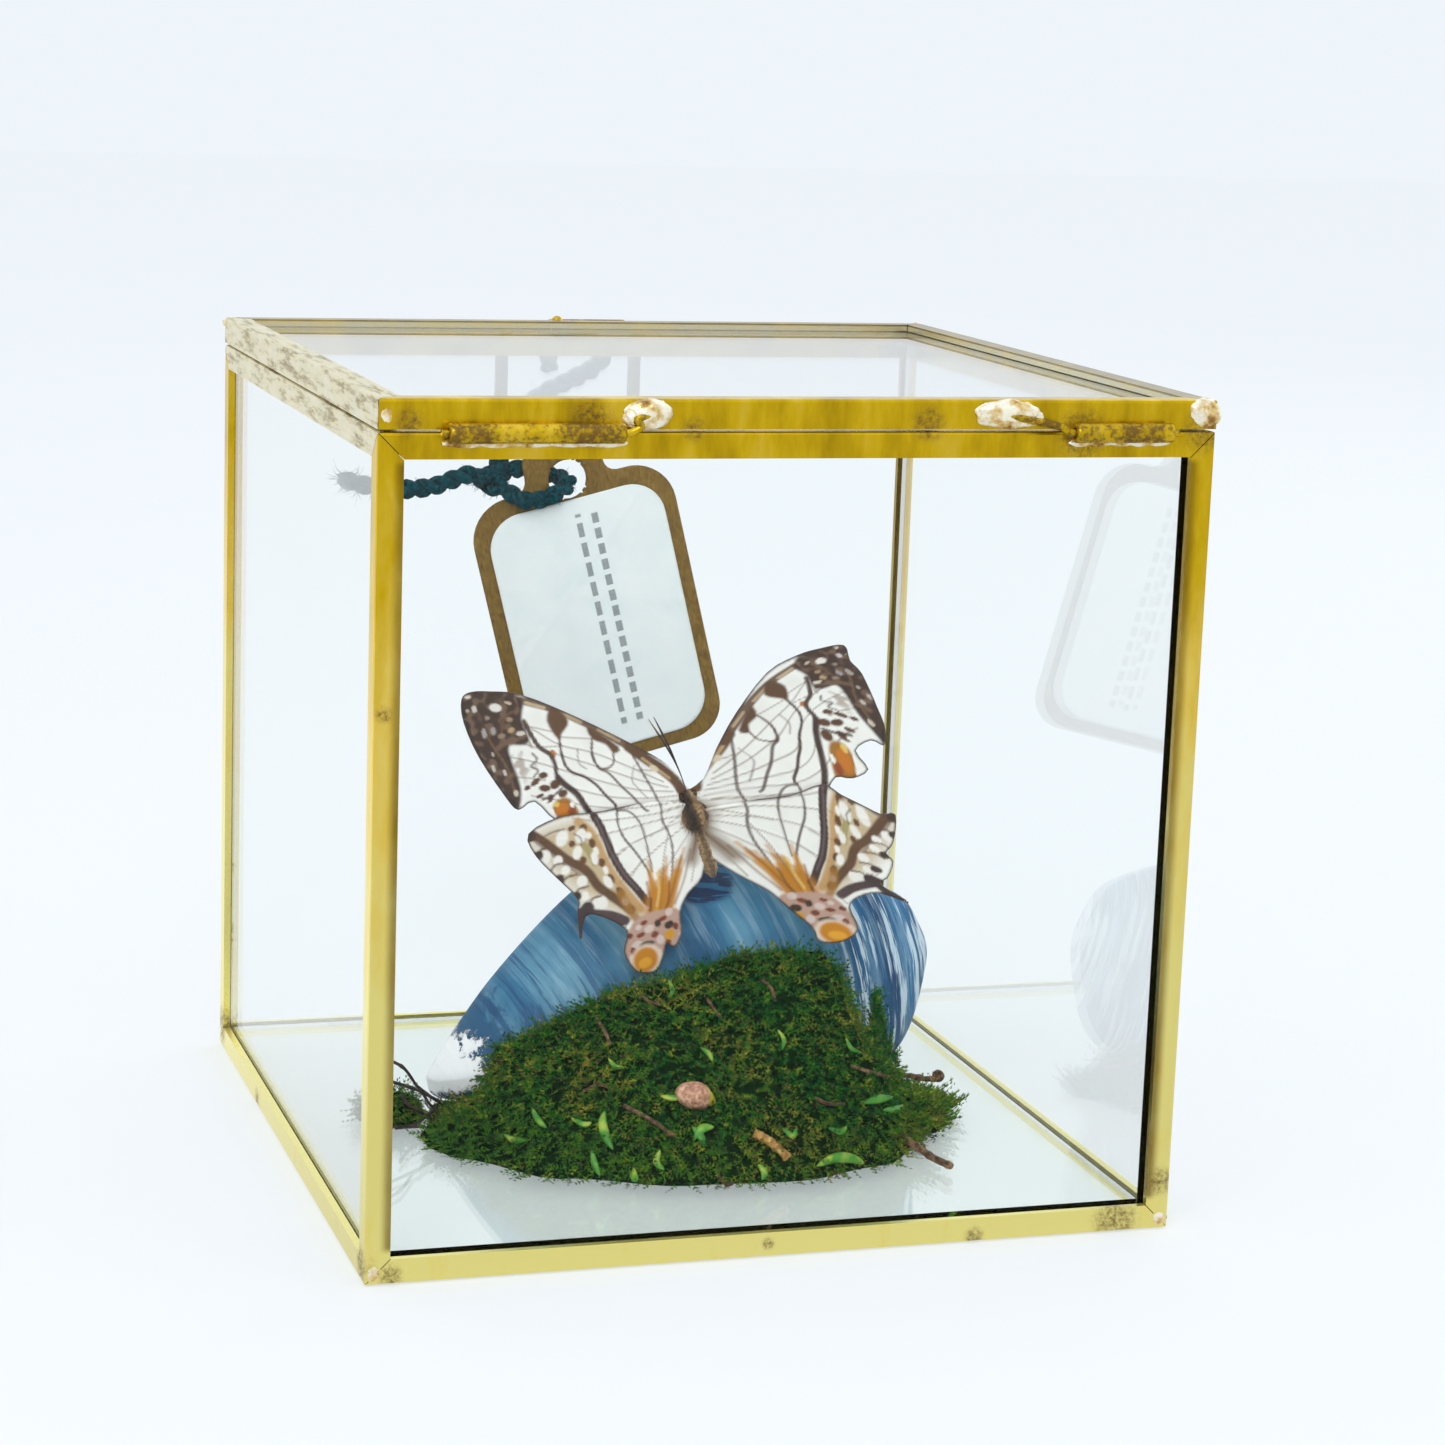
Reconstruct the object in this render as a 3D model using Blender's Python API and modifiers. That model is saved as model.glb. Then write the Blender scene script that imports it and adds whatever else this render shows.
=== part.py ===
"""Glass display box with a butterfly on a mussel shell.

A cube of clear panes in mitred brass came stands on z = 0, centred on x = y = 0.  The lid's hinge is on
the -Y side and its catch on the +Y side.  Inside, a butterfly perches on one mussel valve that stands in
moss.  A card tag hangs from the catch stud on a length of yarn, outside the back pane.

Lengths below are in millimetres.  MM turns them into metres when a mesh is finished.
"""
import math

import bmesh
import bpy
from mathutils import Matrix, Vector, noise

MM = 0.001
GAP = 0.1                 # between a pane or a mitre and its neighbour
SOFT_GAP = 0.3            # between natural things that touch

# The brass case and lid
WIDTH = 100.0             # outside, over the brass, both ways
HEIGHT = 101.6            # floor to the top of the lid
HALF = WIDTH / 2
BRASS = 0.9               # thickness of the came
LEG = 3.0                 # width of each leg of the came
EDGE_ROUND = 0.35         # rounding of the came's outer corner
LID_LIP = 0.3             # thin lower lip of the lid's U-section came, under the glass
SEAM = 0.3                # open line between case and lid
GLASS = 2.0
LID_LEG = BRASS + GAP + GLASS + GAP + LID_LIP
LID_BOTTOM = HEIGHT - LID_LEG
CASE_TOP = LID_BOTTOM - SEAM
PANE_OUT = HALF - BRASS - GAP         # outer face of the upright panes
PANE_IN = PANE_OUT - GLASS
FLOOR = BRASS + GAP + GLASS           # upper face of the bottom pane

# Hinge
TUBE_OUTER = 1.15
TUBE_BORE = 0.65
WIRE = 0.45
HINGE_Y = -(HALF + GAP + TUBE_OUTER)
HINGE_Z = CASE_TOP
LEFT_TUBE = (-42.4, -22.4)            # x range of each tube
RIGHT_TUBE = (31.6, 43.8)
LEFT_SOLDER = (-19.4, 2.6)            # x centre and half length of each lump
RIGHT_SOLDER = (23.6, 3.8)

# Catch
CATCH_Y = HALF + GAP + TUBE_OUTER
CATCH_Z = 100.45
CATCH_TUBE = (-4.5, 6.2)
LOOP_LEGS = (-10.8, 8.4)              # x centres of the loop's two legs
LOOP_STRIP = 1.7                      # width of the flat strip
LOOP_THICK = 0.7
LOOP_FOOT = 84.5                      # lower edge of the loop
LOOP_CRANK = 2.0                      # how far its lower half stands out
STUD = (-1.3, 95.6)                   # x and z
STUD_RADIUS = 0.8
STUD_LENGTH = 2.7

# Mussel valve, standing on its lower margin
UMBO = Vector((-29.5, 8.0, 4.0))
SHELL_YAW = -0.0985                   # change of y along x in the margin's plane
SHELL_DEPTH = 11.5                    # bulge towards the front
SHELL_WALL = 1.2
SHELL_CROWN = (-4.0, 15.5)            # x and z of the fullest point
SHELL_OUTLINE = (
    (-29.8, 5.6), (-29.0, 8.5), (-21.5, 20.0), (-11.0, 31.5), (-3.5, 35.3), (4.5, 35.7), (17.5, 33.6),
    (31.0, 30.7), (35.3, 26.0), (36.5, 20.5), (33.5, 9.5), (26.0, 5.0), (12.0, 3.9), (-4.0, 3.7),
    (-20.0, 3.6), (-28.0, 3.6),
)

# Butterfly
HEAD = Vector((-0.58, -7.5, 47.34))
TAIL = Vector((4.04, -6.0, 35.3))
ROOT_SETBACK = 2.2                    # wing roots behind the front of the head
LEFT_LIFT = 8.0                       # degrees that each wing pair is raised towards the front
RIGHT_LIFT = 30.0
WING_THICK = 0.36
HIND_OFFSET = 0.5                     # hindwings lie this far in front of the forewings
# Wing outlines, from the root: along the wing and along the body, towards the head
FORE_LEFT = (
    (-0.5, 1.5), (1.2, 6.2), (4.0, 10.0), (10.8, 17.7), (16.6, 23.4), (20.1, 25.4), (22.5, 26.4), (23.9, 26.0),
    (24.6, 23.1), (24.2, 18.1), (22.6, 11.6), (21.6, 9.4), (19.3, 9.5), (17.3, 5.6), (13.3, 2.4), (8.6, 1.4),
    (4.2, 0.2), (0.0, -1.4),
)
HIND_LEFT = (
    (-0.3, -0.4), (4.9, 2.9), (11.5, 4.6), (16.7, 6.3), (21.5, 6.1), (21.5, 2.8), (19.6, -1.7), (18.2, -5.0),
    (18.8, -6.8), (19.7, -10.9), (18.0, -7.7), (15.9, -8.7), (13.4, -12.0), (14.6, -14.6), (14.1, -17.5),
    (12.9, -18.6), (11.2, -19.0), (9.6, -17.3), (8.9, -16.2), (7.9, -17.1), (6.4, -15.6), (5.8, -12.9),
    (4.1, -11.0), (1.6, -9.7), (-0.2, -5.5),
)
FORE_RIGHT = (
    (-0.5, 1.4), (2.7, 3.3), (5.6, 7.2), (9.5, 11.6), (14.9, 16.3), (19.2, 17.9), (22.5, 18.3), (25.5, 18.2),
    (25.7, 16.0), (26.7, 14.0), (27.4, 9.0), (27.6, 6.2), (26.9, 3.9), (25.4, 4.9), (23.1, 3.8), (24.0, 1.0),
    (21.7, 0.1), (19.6, 0.6), (17.4, -1.4), (12.1, -2.4), (6.8, -2.2), (0.0, -1.8),
)
HIND_RIGHT = (
    (-0.3, -1.3), (6.6, -0.5), (13.2, -0.6), (17.8, 0.2), (19.7, -1.6), (21.8, -3.4), (24.0, -5.2),
    (25.9, -5.6), (24.6, -9.4), (23.3, -10.7), (23.9, -12.1), (22.6, -14.2), (21.4, -15.0), (24.9, -18.6),
    (21.1, -16.2), (18.0, -16.4), (16.6, -17.7), (16.9, -20.7), (15.5, -22.0), (13.4, -22.4), (11.2, -21.7),
    (10.9, -19.7), (8.6, -16.4), (6.9, -13.8), (5.0, -12.0), (2.1, -9.3), (-0.2, -5.8),
)

# Moss: crest height and front edge of the mound at a few x
MOSS_CREST_Y = -7.0
MOSS_CREST = (
    (-34.0, 4.0), (-29.5, 5.2), (-25.5, 7.0), (-23.0, 11.5), (-19.8, 15.0), (-15.5, 17.6), (-10.6, 21.6),
    (-4.3, 23.2), (2.3, 25.0), (10.4, 25.9), (20.0, 25.2), (23.5, 20.0), (26.3, 14.0), (29.0, 18.2),
    (31.0, 16.0), (32.8, 8.5), (36.5, 4.6), (38.5, 3.6),
)
MOSS_FRONT = (
    (-34.0, -11.5), (-31.0, -17.0), (-21.0, -26.6), (-6.0, -32.3), (8.0, -33.2), (20.0, -29.6),
    (31.0, -18.5), (38.5, -7.5),
)
MOSS_BACK = ((-34.0, -7.0), (-29.0, 6.0), (36.0, 2.0), (38.5, -2.0))
MOSS_CLUMP_HEIGHT = 14.0

# Yarn and tag
YARN = 1.2                            # radius
KNOT = Vector((-12.5, 52.1, 79.1))
YARN_STRAND = (
    (-4.4, 51.4, 92.9), (-4.5, 51.4, 95.0), (-3.4, 51.4, 97.0), (-1.3, 51.4, 97.8), (1.3, 51.4, 97.3),
    (3.3, 51.4, 95.4), (2.4, 51.4, 93.4), (-0.6, 51.4, 91.7), (-4.0, 51.4, 90.1), (-7.1, 51.4, 88.0),
    (-9.6, 51.4, 84.9), (-11.2, 51.6, 82.0),
)
YARN_RING = (
    (-9.9, 51.1, 77.5), (-8.6, 50.6, 76.6), (-6.6, 50.4, 76.3), (-4.4, 50.4, 76.8), (-2.7, 50.5, 77.6),
    (-1.4, 51.5, 78.4), (-1.1, 52.6, 78.8), (-1.8, 53.8, 79.1), (-3.6, 54.2, 79.6), (-6.0, 54.2, 80.2),
    (-8.0, 53.8, 80.4), (-9.6, 53.1, 80.2),
)
YARN_TAIL = (
    (-15.3, 51.6, 79.9), (-17.6, 51.2, 79.4), (-21.1, 51.0, 78.3), (-25.0, 51.0, 78.0), (-28.8, 51.1, 78.5),
    (-32.1, 51.2, 79.4),
)
TAG_CENTRE = (3.3, 60.7)              # x and z
TAG_TILT = 14.5                       # degrees, top leaning to -X
TAG_WIDTH = 30.0
TAG_FOOT = -22.5                      # lower edge, shoulders and top of the tab, from the centre
TAG_SHOULDER = 18.5
TAG_TOP = 24.5
TAB_WIDTH = 11.5
TAG_ROUND = 6.0
TAG_Y = 51.9
CARD = 0.6
TAG_HOLE = (0.2, 19.0, 2.8)           # across, up, radius
LABEL_SIZE = (26.0, 36.6)
LABEL_DROP = 2.2                      # label centre below the tag centre
LABEL_ROUND = 5.0
PAPER = 0.2

COLLECTION = bpy.data.collections.new("insect_display_box")
CUTTERS = bpy.data.collections.new("cutters")


# Materials and objects
def material(name, colour, roughness, metallic=0.0, transmission=0.0):
    mat = bpy.data.materials.new(name)
    mat.use_nodes = True
    shader = mat.node_tree.nodes["Principled BSDF"]
    shader.inputs["Base Color"].default_value = (*colour, 1.0)
    shader.inputs["Roughness"].default_value = roughness
    shader.inputs["Metallic"].default_value = metallic
    shader.inputs["Transmission Weight"].default_value = transmission
    return mat


def place(name, mesh, mat, cutter=False):
    """Link a mesh, built in millimetres, as an object in metres."""
    mesh.transform(Matrix.Scale(MM, 4))
    obj = bpy.data.objects.new(name, mesh)
    (CUTTERS if cutter else COLLECTION).objects.link(obj)
    if cutter:
        obj.hide_render = True
        obj.display_type = "WIRE"
    else:
        mesh.materials.append(mat)
    return obj


def finish(bm, name, mat=None, smooth=None, cutter=False):
    """Turn a bmesh into an object; smooth is the angle above which edges stay sharp."""
    bmesh.ops.recalc_face_normals(bm, faces=bm.faces)
    mesh = bpy.data.meshes.new(name)
    bm.to_mesh(mesh)
    bm.free()
    if smooth is not None:
        mesh.shade_smooth()
        mesh.set_sharp_from_angle(angle=math.radians(smooth))
    return place(name, mesh, mat, cutter)


def combine(obj, other, operation):
    """Boolean one object with another; the other becomes a hidden guide."""
    other.hide_render = True
    other.display_type = "WIRE"
    if other.name in COLLECTION.objects:
        COLLECTION.objects.unlink(other)
        CUTTERS.objects.link(other)
    mod = obj.modifiers.new(operation.title(), "BOOLEAN")
    mod.operation = operation
    mod.solver = "EXACT"
    mod.object = other


# Small geometry helpers
def between(points, x):
    """Read a hand-drawn profile at x, smoothed between its points."""
    if x <= points[0][0]:
        return points[0][1]
    for (x0, y0), (x1, y1) in zip(points, points[1:]):
        if x <= x1:
            t = (x - x0) / (x1 - x0)
            t = t * t * (3 - 2 * t)
            return y0 + (y1 - y0) * t
    return points[-1][1]


def spline(points, steps, closed=False):
    """Catmull-Rom curve through the points."""
    pts = [Vector(p) for p in points]
    n = len(pts)
    out = []
    for i in range(n if closed else n - 1):
        if closed:
            p0, p1, p2, p3 = (pts[(i + k) % n] for k in (-1, 0, 1, 2))
        else:
            p0, p1, p2, p3 = (pts[min(max(i + k, 0), n - 1)] for k in (-1, 0, 1, 2))
        for j in range(steps):
            t = j / steps
            out.append(0.5 * (2 * p1 + (p2 - p0) * t + (2 * p0 - 5 * p1 + 4 * p2 - p3) * t ** 2
                              + (3 * p1 - p0 - 3 * p2 + p3) * t ** 3))
    if not closed:
        out.append(pts[-1])
    return out


def curve_mesh(name, strokes, dimensions="3D", **settings):
    """Evaluate a curve of POLY splines, each (points, closed), to a welded mesh."""
    curve = bpy.data.curves.new(name, "CURVE")
    curve.dimensions = dimensions
    for key, value in settings.items():
        setattr(curve, key, value)
    for points, closed in strokes:
        line = curve.splines.new("POLY")
        line.points.add(len(points) - 1)
        for point, co in zip(line.points, points):
            co = Vector(co).to_3d()
            point.co = (*co, 1.0)
        line.use_cyclic_u = closed
    obj = bpy.data.objects.new(name, curve)
    bpy.context.scene.collection.objects.link(obj)
    mesh = bpy.data.meshes.new_from_object(obj.evaluated_get(bpy.context.evaluated_depsgraph_get()))
    bpy.data.objects.remove(obj)
    bpy.data.curves.remove(curve)
    bm = bmesh.new()
    bm.from_mesh(mesh)
    bpy.data.meshes.remove(mesh)
    bmesh.ops.remove_doubles(bm, verts=bm.verts, dist=0.001)
    return bm


def wire(name, points, radius, mat=None, resolution=2, cutter=False):
    bm = curve_mesh(name, [(points, False)], bevel_depth=radius, bevel_resolution=resolution,
                    use_fill_caps=True)
    return finish(bm, name, mat, smooth=50, cutter=cutter)


def flat(name, strokes, thickness):
    """A flat outline in XY, extruded to its thickness about z = 0."""
    return curve_mesh(name, strokes, "2D", fill_mode="BOTH", extrude=thickness / 2)


def box(name, low, high, mat, cutter=False):
    bm = bmesh.new()
    bmesh.ops.create_cube(bm, size=1.0)
    low, high = Vector(low), Vector(high)
    bmesh.ops.scale(bm, vec=high - low, verts=bm.verts)
    bmesh.ops.translate(bm, vec=(low + high) / 2, verts=bm.verts)
    return finish(bm, name, mat, cutter=cutter)


def ellipsoid(name, centre, radii, mat, segments=16, rings=10, keep=None, cutter=False):
    """A UV sphere scaled to radii; keep = (point, normal) cuts off what lies along the normal."""
    bm = bmesh.new()
    bmesh.ops.create_uvsphere(bm, u_segments=segments, v_segments=rings, radius=1.0)
    bmesh.ops.scale(bm, vec=radii, verts=bm.verts)
    bmesh.ops.translate(bm, vec=centre, verts=bm.verts)
    if keep:
        slice_off(bm, *keep)
    return finish(bm, name, mat, smooth=50, cutter=cutter)


def slice_off(bm, point, normal):
    """Cut a closed bmesh by a plane, drop the side the normal points to and cap it."""
    geom = bm.verts[:] + bm.edges[:] + bm.faces[:]
    cut = bmesh.ops.bisect_plane(bm, geom=geom, plane_co=point, plane_no=normal, clear_outer=True)
    rim = [e for e in cut["geom_cut"] if isinstance(e, bmesh.types.BMEdge) and e.is_boundary]
    bmesh.ops.holes_fill(bm, edges=rim, sides=0)


# Brass came
def came(name, corner, along, inward, second, length, second_leg, lip, mat):
    """One bar of L-section came, or of U-section where it has a lip.

    It starts at an outer corner of the box and runs along; its legs point along inward and second.  Each
    end is mitred to the bar that runs along inward, and an L-section also to the one along second.
    """
    corner, along, inward, second = (Vector(v) for v in (corner, along, inward, second))
    section = [(EDGE_ROUND * (1 - math.cos(a)), EDGE_ROUND * (1 - math.sin(a)))
               for a in (0, math.pi / 4, math.pi / 2)]
    section += [(LEG, 0), (LEG, BRASS), (BRASS, BRASS)]
    if lip:
        section += [(BRASS, second_leg - lip), (LEG, second_leg - lip), (LEG, second_leg)]
    else:
        section += [(BRASS, second_leg)]
    section += [(0, second_leg)]
    bm = bmesh.new()
    face = bm.faces.new([bm.verts.new(corner + inward * a + second * b) for a, b in section])
    grown = bmesh.ops.extrude_face_region(bm, geom=[face])
    tip = [v for v in grown["geom"] if isinstance(v, bmesh.types.BMVert)]
    bmesh.ops.translate(bm, vec=along * length, verts=tip)
    ease = GAP / math.sqrt(2)
    for end, way in ((corner, along), (corner + along * length, -along)):
        for leg in (inward,) if lip else (inward, second):
            slice_off(bm, end + way * ease, leg - way)
    return finish(bm, name, mat, smooth=30)


def frame_ring(prefix, z, up, leg_up, lip, mat):
    """Four bars around the box at one level."""
    x, y = Vector((1, 0, 0)), Vector((0, 1, 0))
    sides = {
        "front": ((-HALF, -HALF, z), x, y),
        "back": ((-HALF, HALF, z), x, -y),
        "left": ((-HALF, -HALF, z), y, x),
        "right": ((HALF, -HALF, z), y, -x),
    }
    for side, (corner, along, inward) in sides.items():
        came(f"{prefix}_{side}", corner, along, inward, (0, 0, up), WIDTH, leg_up, lip, mat)


def case_frame(mat):
    frame_ring("case_bottom", 0.0, 1, LEG, 0, mat)
    frame_ring("case_top", CASE_TOP, -1, LEG, 0, mat)
    for y_name, y in (("front", -1), ("back", 1)):
        for x_name, x in (("left", -1), ("right", 1)):
            came(f"case_post_{y_name}_{x_name}", (x * HALF, y * HALF, 0), (0, 0, 1), (-x, 0, 0), (0, -y, 0),
                 CASE_TOP, LEG, 0, mat)


def panes(mat):
    low, high = BRASS + GAP, CASE_TOP - BRASS - GAP
    side = PANE_IN - GAP
    box("pane_front", (-PANE_OUT, -PANE_OUT, low), (PANE_OUT, -PANE_IN, high), mat)
    box("pane_back", (-PANE_OUT, PANE_IN, low), (PANE_OUT, PANE_OUT, high), mat)
    box("pane_left", (-PANE_OUT, -side, low), (-PANE_IN, side, high), mat)
    box("pane_right", (PANE_IN, -side, low), (PANE_OUT, side, high), mat)
    box("pane_bottom", (-side, -side, low), (side, side, FLOOR), mat)


def lid(brass, glass):
    frame_ring("lid", HEIGHT, -1, LID_LEG, LID_LIP, brass)
    top = HEIGHT - BRASS - GAP
    box("pane_lid", (-PANE_OUT, -PANE_OUT, top - GLASS), (PANE_OUT, PANE_OUT, top), glass)


# Hinge and catch
def tube(name, x_range, y, z, mat, bead=None):
    """A tube along X; bead = (x, z, radius) adds a ball of solder before it is bored."""
    bm = bmesh.new()
    x0, x1 = x_range
    bmesh.ops.create_cone(bm, cap_ends=True, segments=20, radius1=TUBE_OUTER, radius2=TUBE_OUTER, depth=x1 - x0)
    lay = Matrix.Translation(((x0 + x1) / 2, y, z)) @ Matrix.Rotation(math.pi / 2, 4, "Y")
    bmesh.ops.transform(bm, matrix=lay, verts=bm.verts)
    obj = finish(bm, name, mat, smooth=40)
    if bead:
        bead_x, bead_z, radius = bead
        ball = ellipsoid(name + "_bead", (bead_x, y, bead_z), (radius,) * 3, mat, 12, 8)
        combine(obj, ball, "UNION")
    bm = bmesh.new()
    bmesh.ops.create_cone(bm, cap_ends=True, segments=20, radius1=TUBE_BORE, radius2=TUBE_BORE,
                          depth=x1 - x0 + 2)
    bmesh.ops.transform(bm, matrix=lay, verts=bm.verts)
    combine(obj, finish(bm, name + "_bore", cutter=True), "DIFFERENCE")
    return obj


def hinge_wire(name, tube_x, solder, mat):
    """The wire runs through its tube, turns up and ends in a lump of solder on the lid rail."""
    solder_x, half_length = solder
    outward = 1 if tube_x[0] > solder_x else -1
    outer_end = max(tube_x) if outward > 0 else min(tube_x)
    inner_end = min(tube_x) if outward > 0 else max(tube_x)
    rail = -(HALF + GAP)
    path = [
        (outer_end + outward * 0.8, HINGE_Y, HINGE_Z),
        (inner_end - outward * 0.4, HINGE_Y, HINGE_Z),
        (inner_end - outward * 1.9, HINGE_Y + 0.1, HINGE_Z + 0.7),
        (solder_x, rail - WIRE - 0.1, HINGE_Z + 2.0),
    ]
    obj = wire(name, path, WIRE, mat)
    lump_z = (LID_BOTTOM + HEIGHT) / 2
    lump = ellipsoid(name + "_solder", (solder_x, rail, lump_z), (half_length, 1.0, 1.55), mat,
                     segments=12, rings=8, keep=((0, rail, 0), (0, 1, 0)))
    combine(obj, lump, "UNION")
    return obj


def catch_loop(mat):
    """A flat strip bent to a rectangle, cranked outwards below its hinge wire."""
    left, right = LOOP_LEGS[0] - LOOP_STRIP / 2, LOOP_LEGS[1] + LOOP_STRIP / 2
    outer = ((left, LOOP_FOOT), (right, LOOP_FOOT), (right, CATCH_Z), (left, CATCH_Z))
    inner_top = CATCH_Z - 0.3
    inner = ((left + LOOP_STRIP, LOOP_FOOT + LOOP_STRIP), (right - LOOP_STRIP, LOOP_FOOT + LOOP_STRIP),
             (right - LOOP_STRIP, inner_top), (left + LOOP_STRIP, inner_top))
    bm = flat("catch_loop", [(outer, True), (inner, True)], LOOP_THICK)
    bmesh.ops.rotate(bm, cent=(0, 0, 0), matrix=Matrix.Rotation(math.pi / 2, 3, "X"), verts=bm.verts)
    crank = (CATCH_Z - 3.0, CATCH_Z - 4.2, CATCH_Z - 5.4)
    for z in crank:
        geom = bm.verts[:] + bm.edges[:] + bm.faces[:]
        bmesh.ops.bisect_plane(bm, geom=geom, plane_co=(0, 0, z), plane_no=(0, 0, 1))
    for v in bm.verts:
        t = min(max((crank[0] - v.co.z) / (crank[0] - crank[2]), 0.0), 1.0)
        v.co.y += CATCH_Y + LOOP_CRANK * t * t * (3 - 2 * t)
    obj = finish(bm, "catch_loop", mat, smooth=30)
    rod = wire("catch_rod", [(x, CATCH_Y, CATCH_Z) for x in (left - 0.6, 0.0, right + 0.6)], WIRE, mat)
    combine(obj, rod, "UNION")
    return obj


def catch_stud(mat):
    bm = bmesh.new()
    bmesh.ops.create_cone(bm, cap_ends=True, segments=16, radius1=STUD_RADIUS, radius2=STUD_RADIUS,
                          depth=STUD_LENGTH)
    crown = [e for e in bm.edges if all(v.co.z > 0 for v in e.verts)]
    bmesh.ops.bevel(bm, geom=crown, offset=0.25, segments=2, profile=0.5, affect="EDGES", material=-1)
    lay = Matrix.Translation((STUD[0], HALF + GAP + STUD_LENGTH / 2, STUD[1])) @ Matrix.Rotation(
        -math.pi / 2, 4, "X")
    bmesh.ops.transform(bm, matrix=lay, verts=bm.verts)
    return finish(bm, "catch_stud", mat, smooth=40)


# Shell
def margin_y(x):
    """The margin of the valve lies in one upright plane, turned a little."""
    return UMBO.y + SHELL_YAW * (x - UMBO.x)


def valve_dome(grow, rings=8, steps=3):
    """The valve's outer skin: outline rings rise from the margin to the crown.

    grow moves the whole skin outwards, for a cutter that leaves room around the shell.
    """
    outline = spline([(x, z, 0.0) for x, z in SHELL_OUTLINE], steps, closed=True)
    crown = Vector((*SHELL_CROWN, 0.0))
    bm = bmesh.new()
    bmesh.ops.create_uvsphere(bm, u_segments=len(outline), v_segments=2 * rings, radius=1.0)
    slice_keep = [v for v in bm.verts if v.co.z < -0.001]
    bmesh.ops.delete(bm, geom=slice_keep, context="VERTS")
    for v in bm.verts:
        rise = min(max(v.co.z, 0.0), 1.0)
        reach = math.sqrt(1 - rise * rise)
        turn = math.atan2(v.co.y, v.co.x) / (2 * math.pi) * len(outline)
        rim = outline[round(turn) % len(outline)]
        flat_point = crown + (rim - crown) * reach
        if grow:
            flat_point += (rim - crown).normalized() * grow * reach
        depth = SHELL_DEPTH * rise ** 1.15 + grow
        v.co = Vector((flat_point.x, margin_y(flat_point.x) - depth, flat_point.y))
    return bm


def shell(mat):
    bm = valve_dome(0.0)
    bmesh.ops.recalc_face_normals(bm, faces=bm.faces)
    crown_face = min(bm.faces, key=lambda f: f.calc_center_median().y)
    if crown_face.normal.y > 0:
        bmesh.ops.reverse_faces(bm, faces=bm.faces)
    mesh = bpy.data.meshes.new("shell")
    bm.to_mesh(mesh)
    bm.free()
    mesh.shade_smooth()
    obj = place("shell", mesh, mat)
    wall = obj.modifiers.new("Wall", "SOLIDIFY")
    wall.thickness = SHELL_WALL * MM
    wall.offset = -1.0
    return obj


def shell_room(name):
    """Everything behind the front of the valve, for cutting the moss back to it."""
    bm = valve_dome(SOFT_GAP)
    rim = [e for e in bm.edges if e.is_boundary]
    grown = bmesh.ops.extrude_edge_only(bm, edges=rim)
    back = [g for g in grown["geom"] if isinstance(g, bmesh.types.BMVert)]
    bmesh.ops.translate(bm, vec=(0, 30, 0), verts=back)
    bmesh.ops.holes_fill(bm, edges=[e for e in bm.edges if e.is_boundary], sides=0)
    return finish(bm, name, cutter=True)


# Moss
def moss_height(x, y):
    """Top of the front mound above the floor pane at a point."""
    front = between(MOSS_FRONT, x)
    crest = between(MOSS_CREST, x)
    t = min(max((MOSS_CREST_Y - y) / (MOSS_CREST_Y - front), 0.0), 1.0)
    lumps = 0.8 * noise.noise(Vector((x, y, 0)) * 0.16) * (1 - t)
    return FLOOR + SOFT_GAP + (crest - FLOOR + lumps) * (1 - t ** 1.7) ** 0.75


def mound(name, x_range, y_low, y_high, height, columns, rows, mat):
    """A heightfield on the floor pane, closed by a flat underside."""
    base = FLOOR + SOFT_GAP
    bm = bmesh.new()
    bmesh.ops.create_grid(bm, x_segments=columns, y_segments=rows, size=1.0)
    for v in bm.verts:
        x = x_range[0] + (x_range[1] - x_range[0]) * (v.co.x + 1) / 2
        low, high = y_low(x), y_high(x)
        y = low + (high - low) * (v.co.y + 1) / 2
        v.co = Vector((x, y, max(height(x, y), base + 0.25)))
    grown = bmesh.ops.extrude_face_region(bm, geom=bm.faces[:])
    for g in grown["geom"]:
        if isinstance(g, bmesh.types.BMVert):
            g.co.z = base
    flats = [f for f in bm.faces if all(abs(v.co.z - base) < 1e-4 for v in f.verts)]
    bmesh.ops.dissolve_faces(bm, faces=flats)
    return finish(bm, name, mat, smooth=60)


def moss(mat, held):
    """The mound in front of the valve, the clump behind it and the tuft at its left end."""
    front = mound("moss_mound", (MOSS_CREST[0][0], MOSS_CREST[-1][0]), lambda x: between(MOSS_FRONT, x),
                  lambda x: min(between(MOSS_BACK, x), margin_y(x)), moss_height, 34, 13, mat)
    for cutter in [shell_room("shell_room"), *held]:
        combine(front, cutter, "DIFFERENCE")

    def clump_height(x, y):
        along = 1 - ((x - 3.0) / 24.0) ** 2
        across = (y - margin_y(x)) / 15.0
        lumps = 1.2 * noise.noise(Vector((x, y, 40)) * 0.18)
        return FLOOR + (MOSS_CLUMP_HEIGHT + lumps) * max(along, 0) ** 0.5 * max(1 - across ** 2, 0) ** 0.6

    def clump_back(x):
        return margin_y(x) + SOFT_GAP + 14.5 * math.sqrt(max(1.02 - ((x - 3.0) / 24.0) ** 2, 0.02))

    mound("moss_clump", (-21.0, 27.0), lambda x: margin_y(x) + SOFT_GAP, clump_back, clump_height, 18, 8, mat)


def moss_tuft(mat):
    centre = Vector((-35.4, 2.0, FLOOR + SOFT_GAP))
    bm = bmesh.new()
    bmesh.ops.create_icosphere(bm, subdivisions=2, radius=1.0)
    for v in bm.verts:
        push = 1 + 0.18 * noise.noise(v.co * 2.1)
        v.co = centre + Vector((v.co.x * 3.4, v.co.y * 4.4, v.co.z * 3.6)) * push
    slice_off(bm, centre, (0, 0, -1))
    return finish(bm, "moss_tuft", mat, smooth=60)


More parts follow.
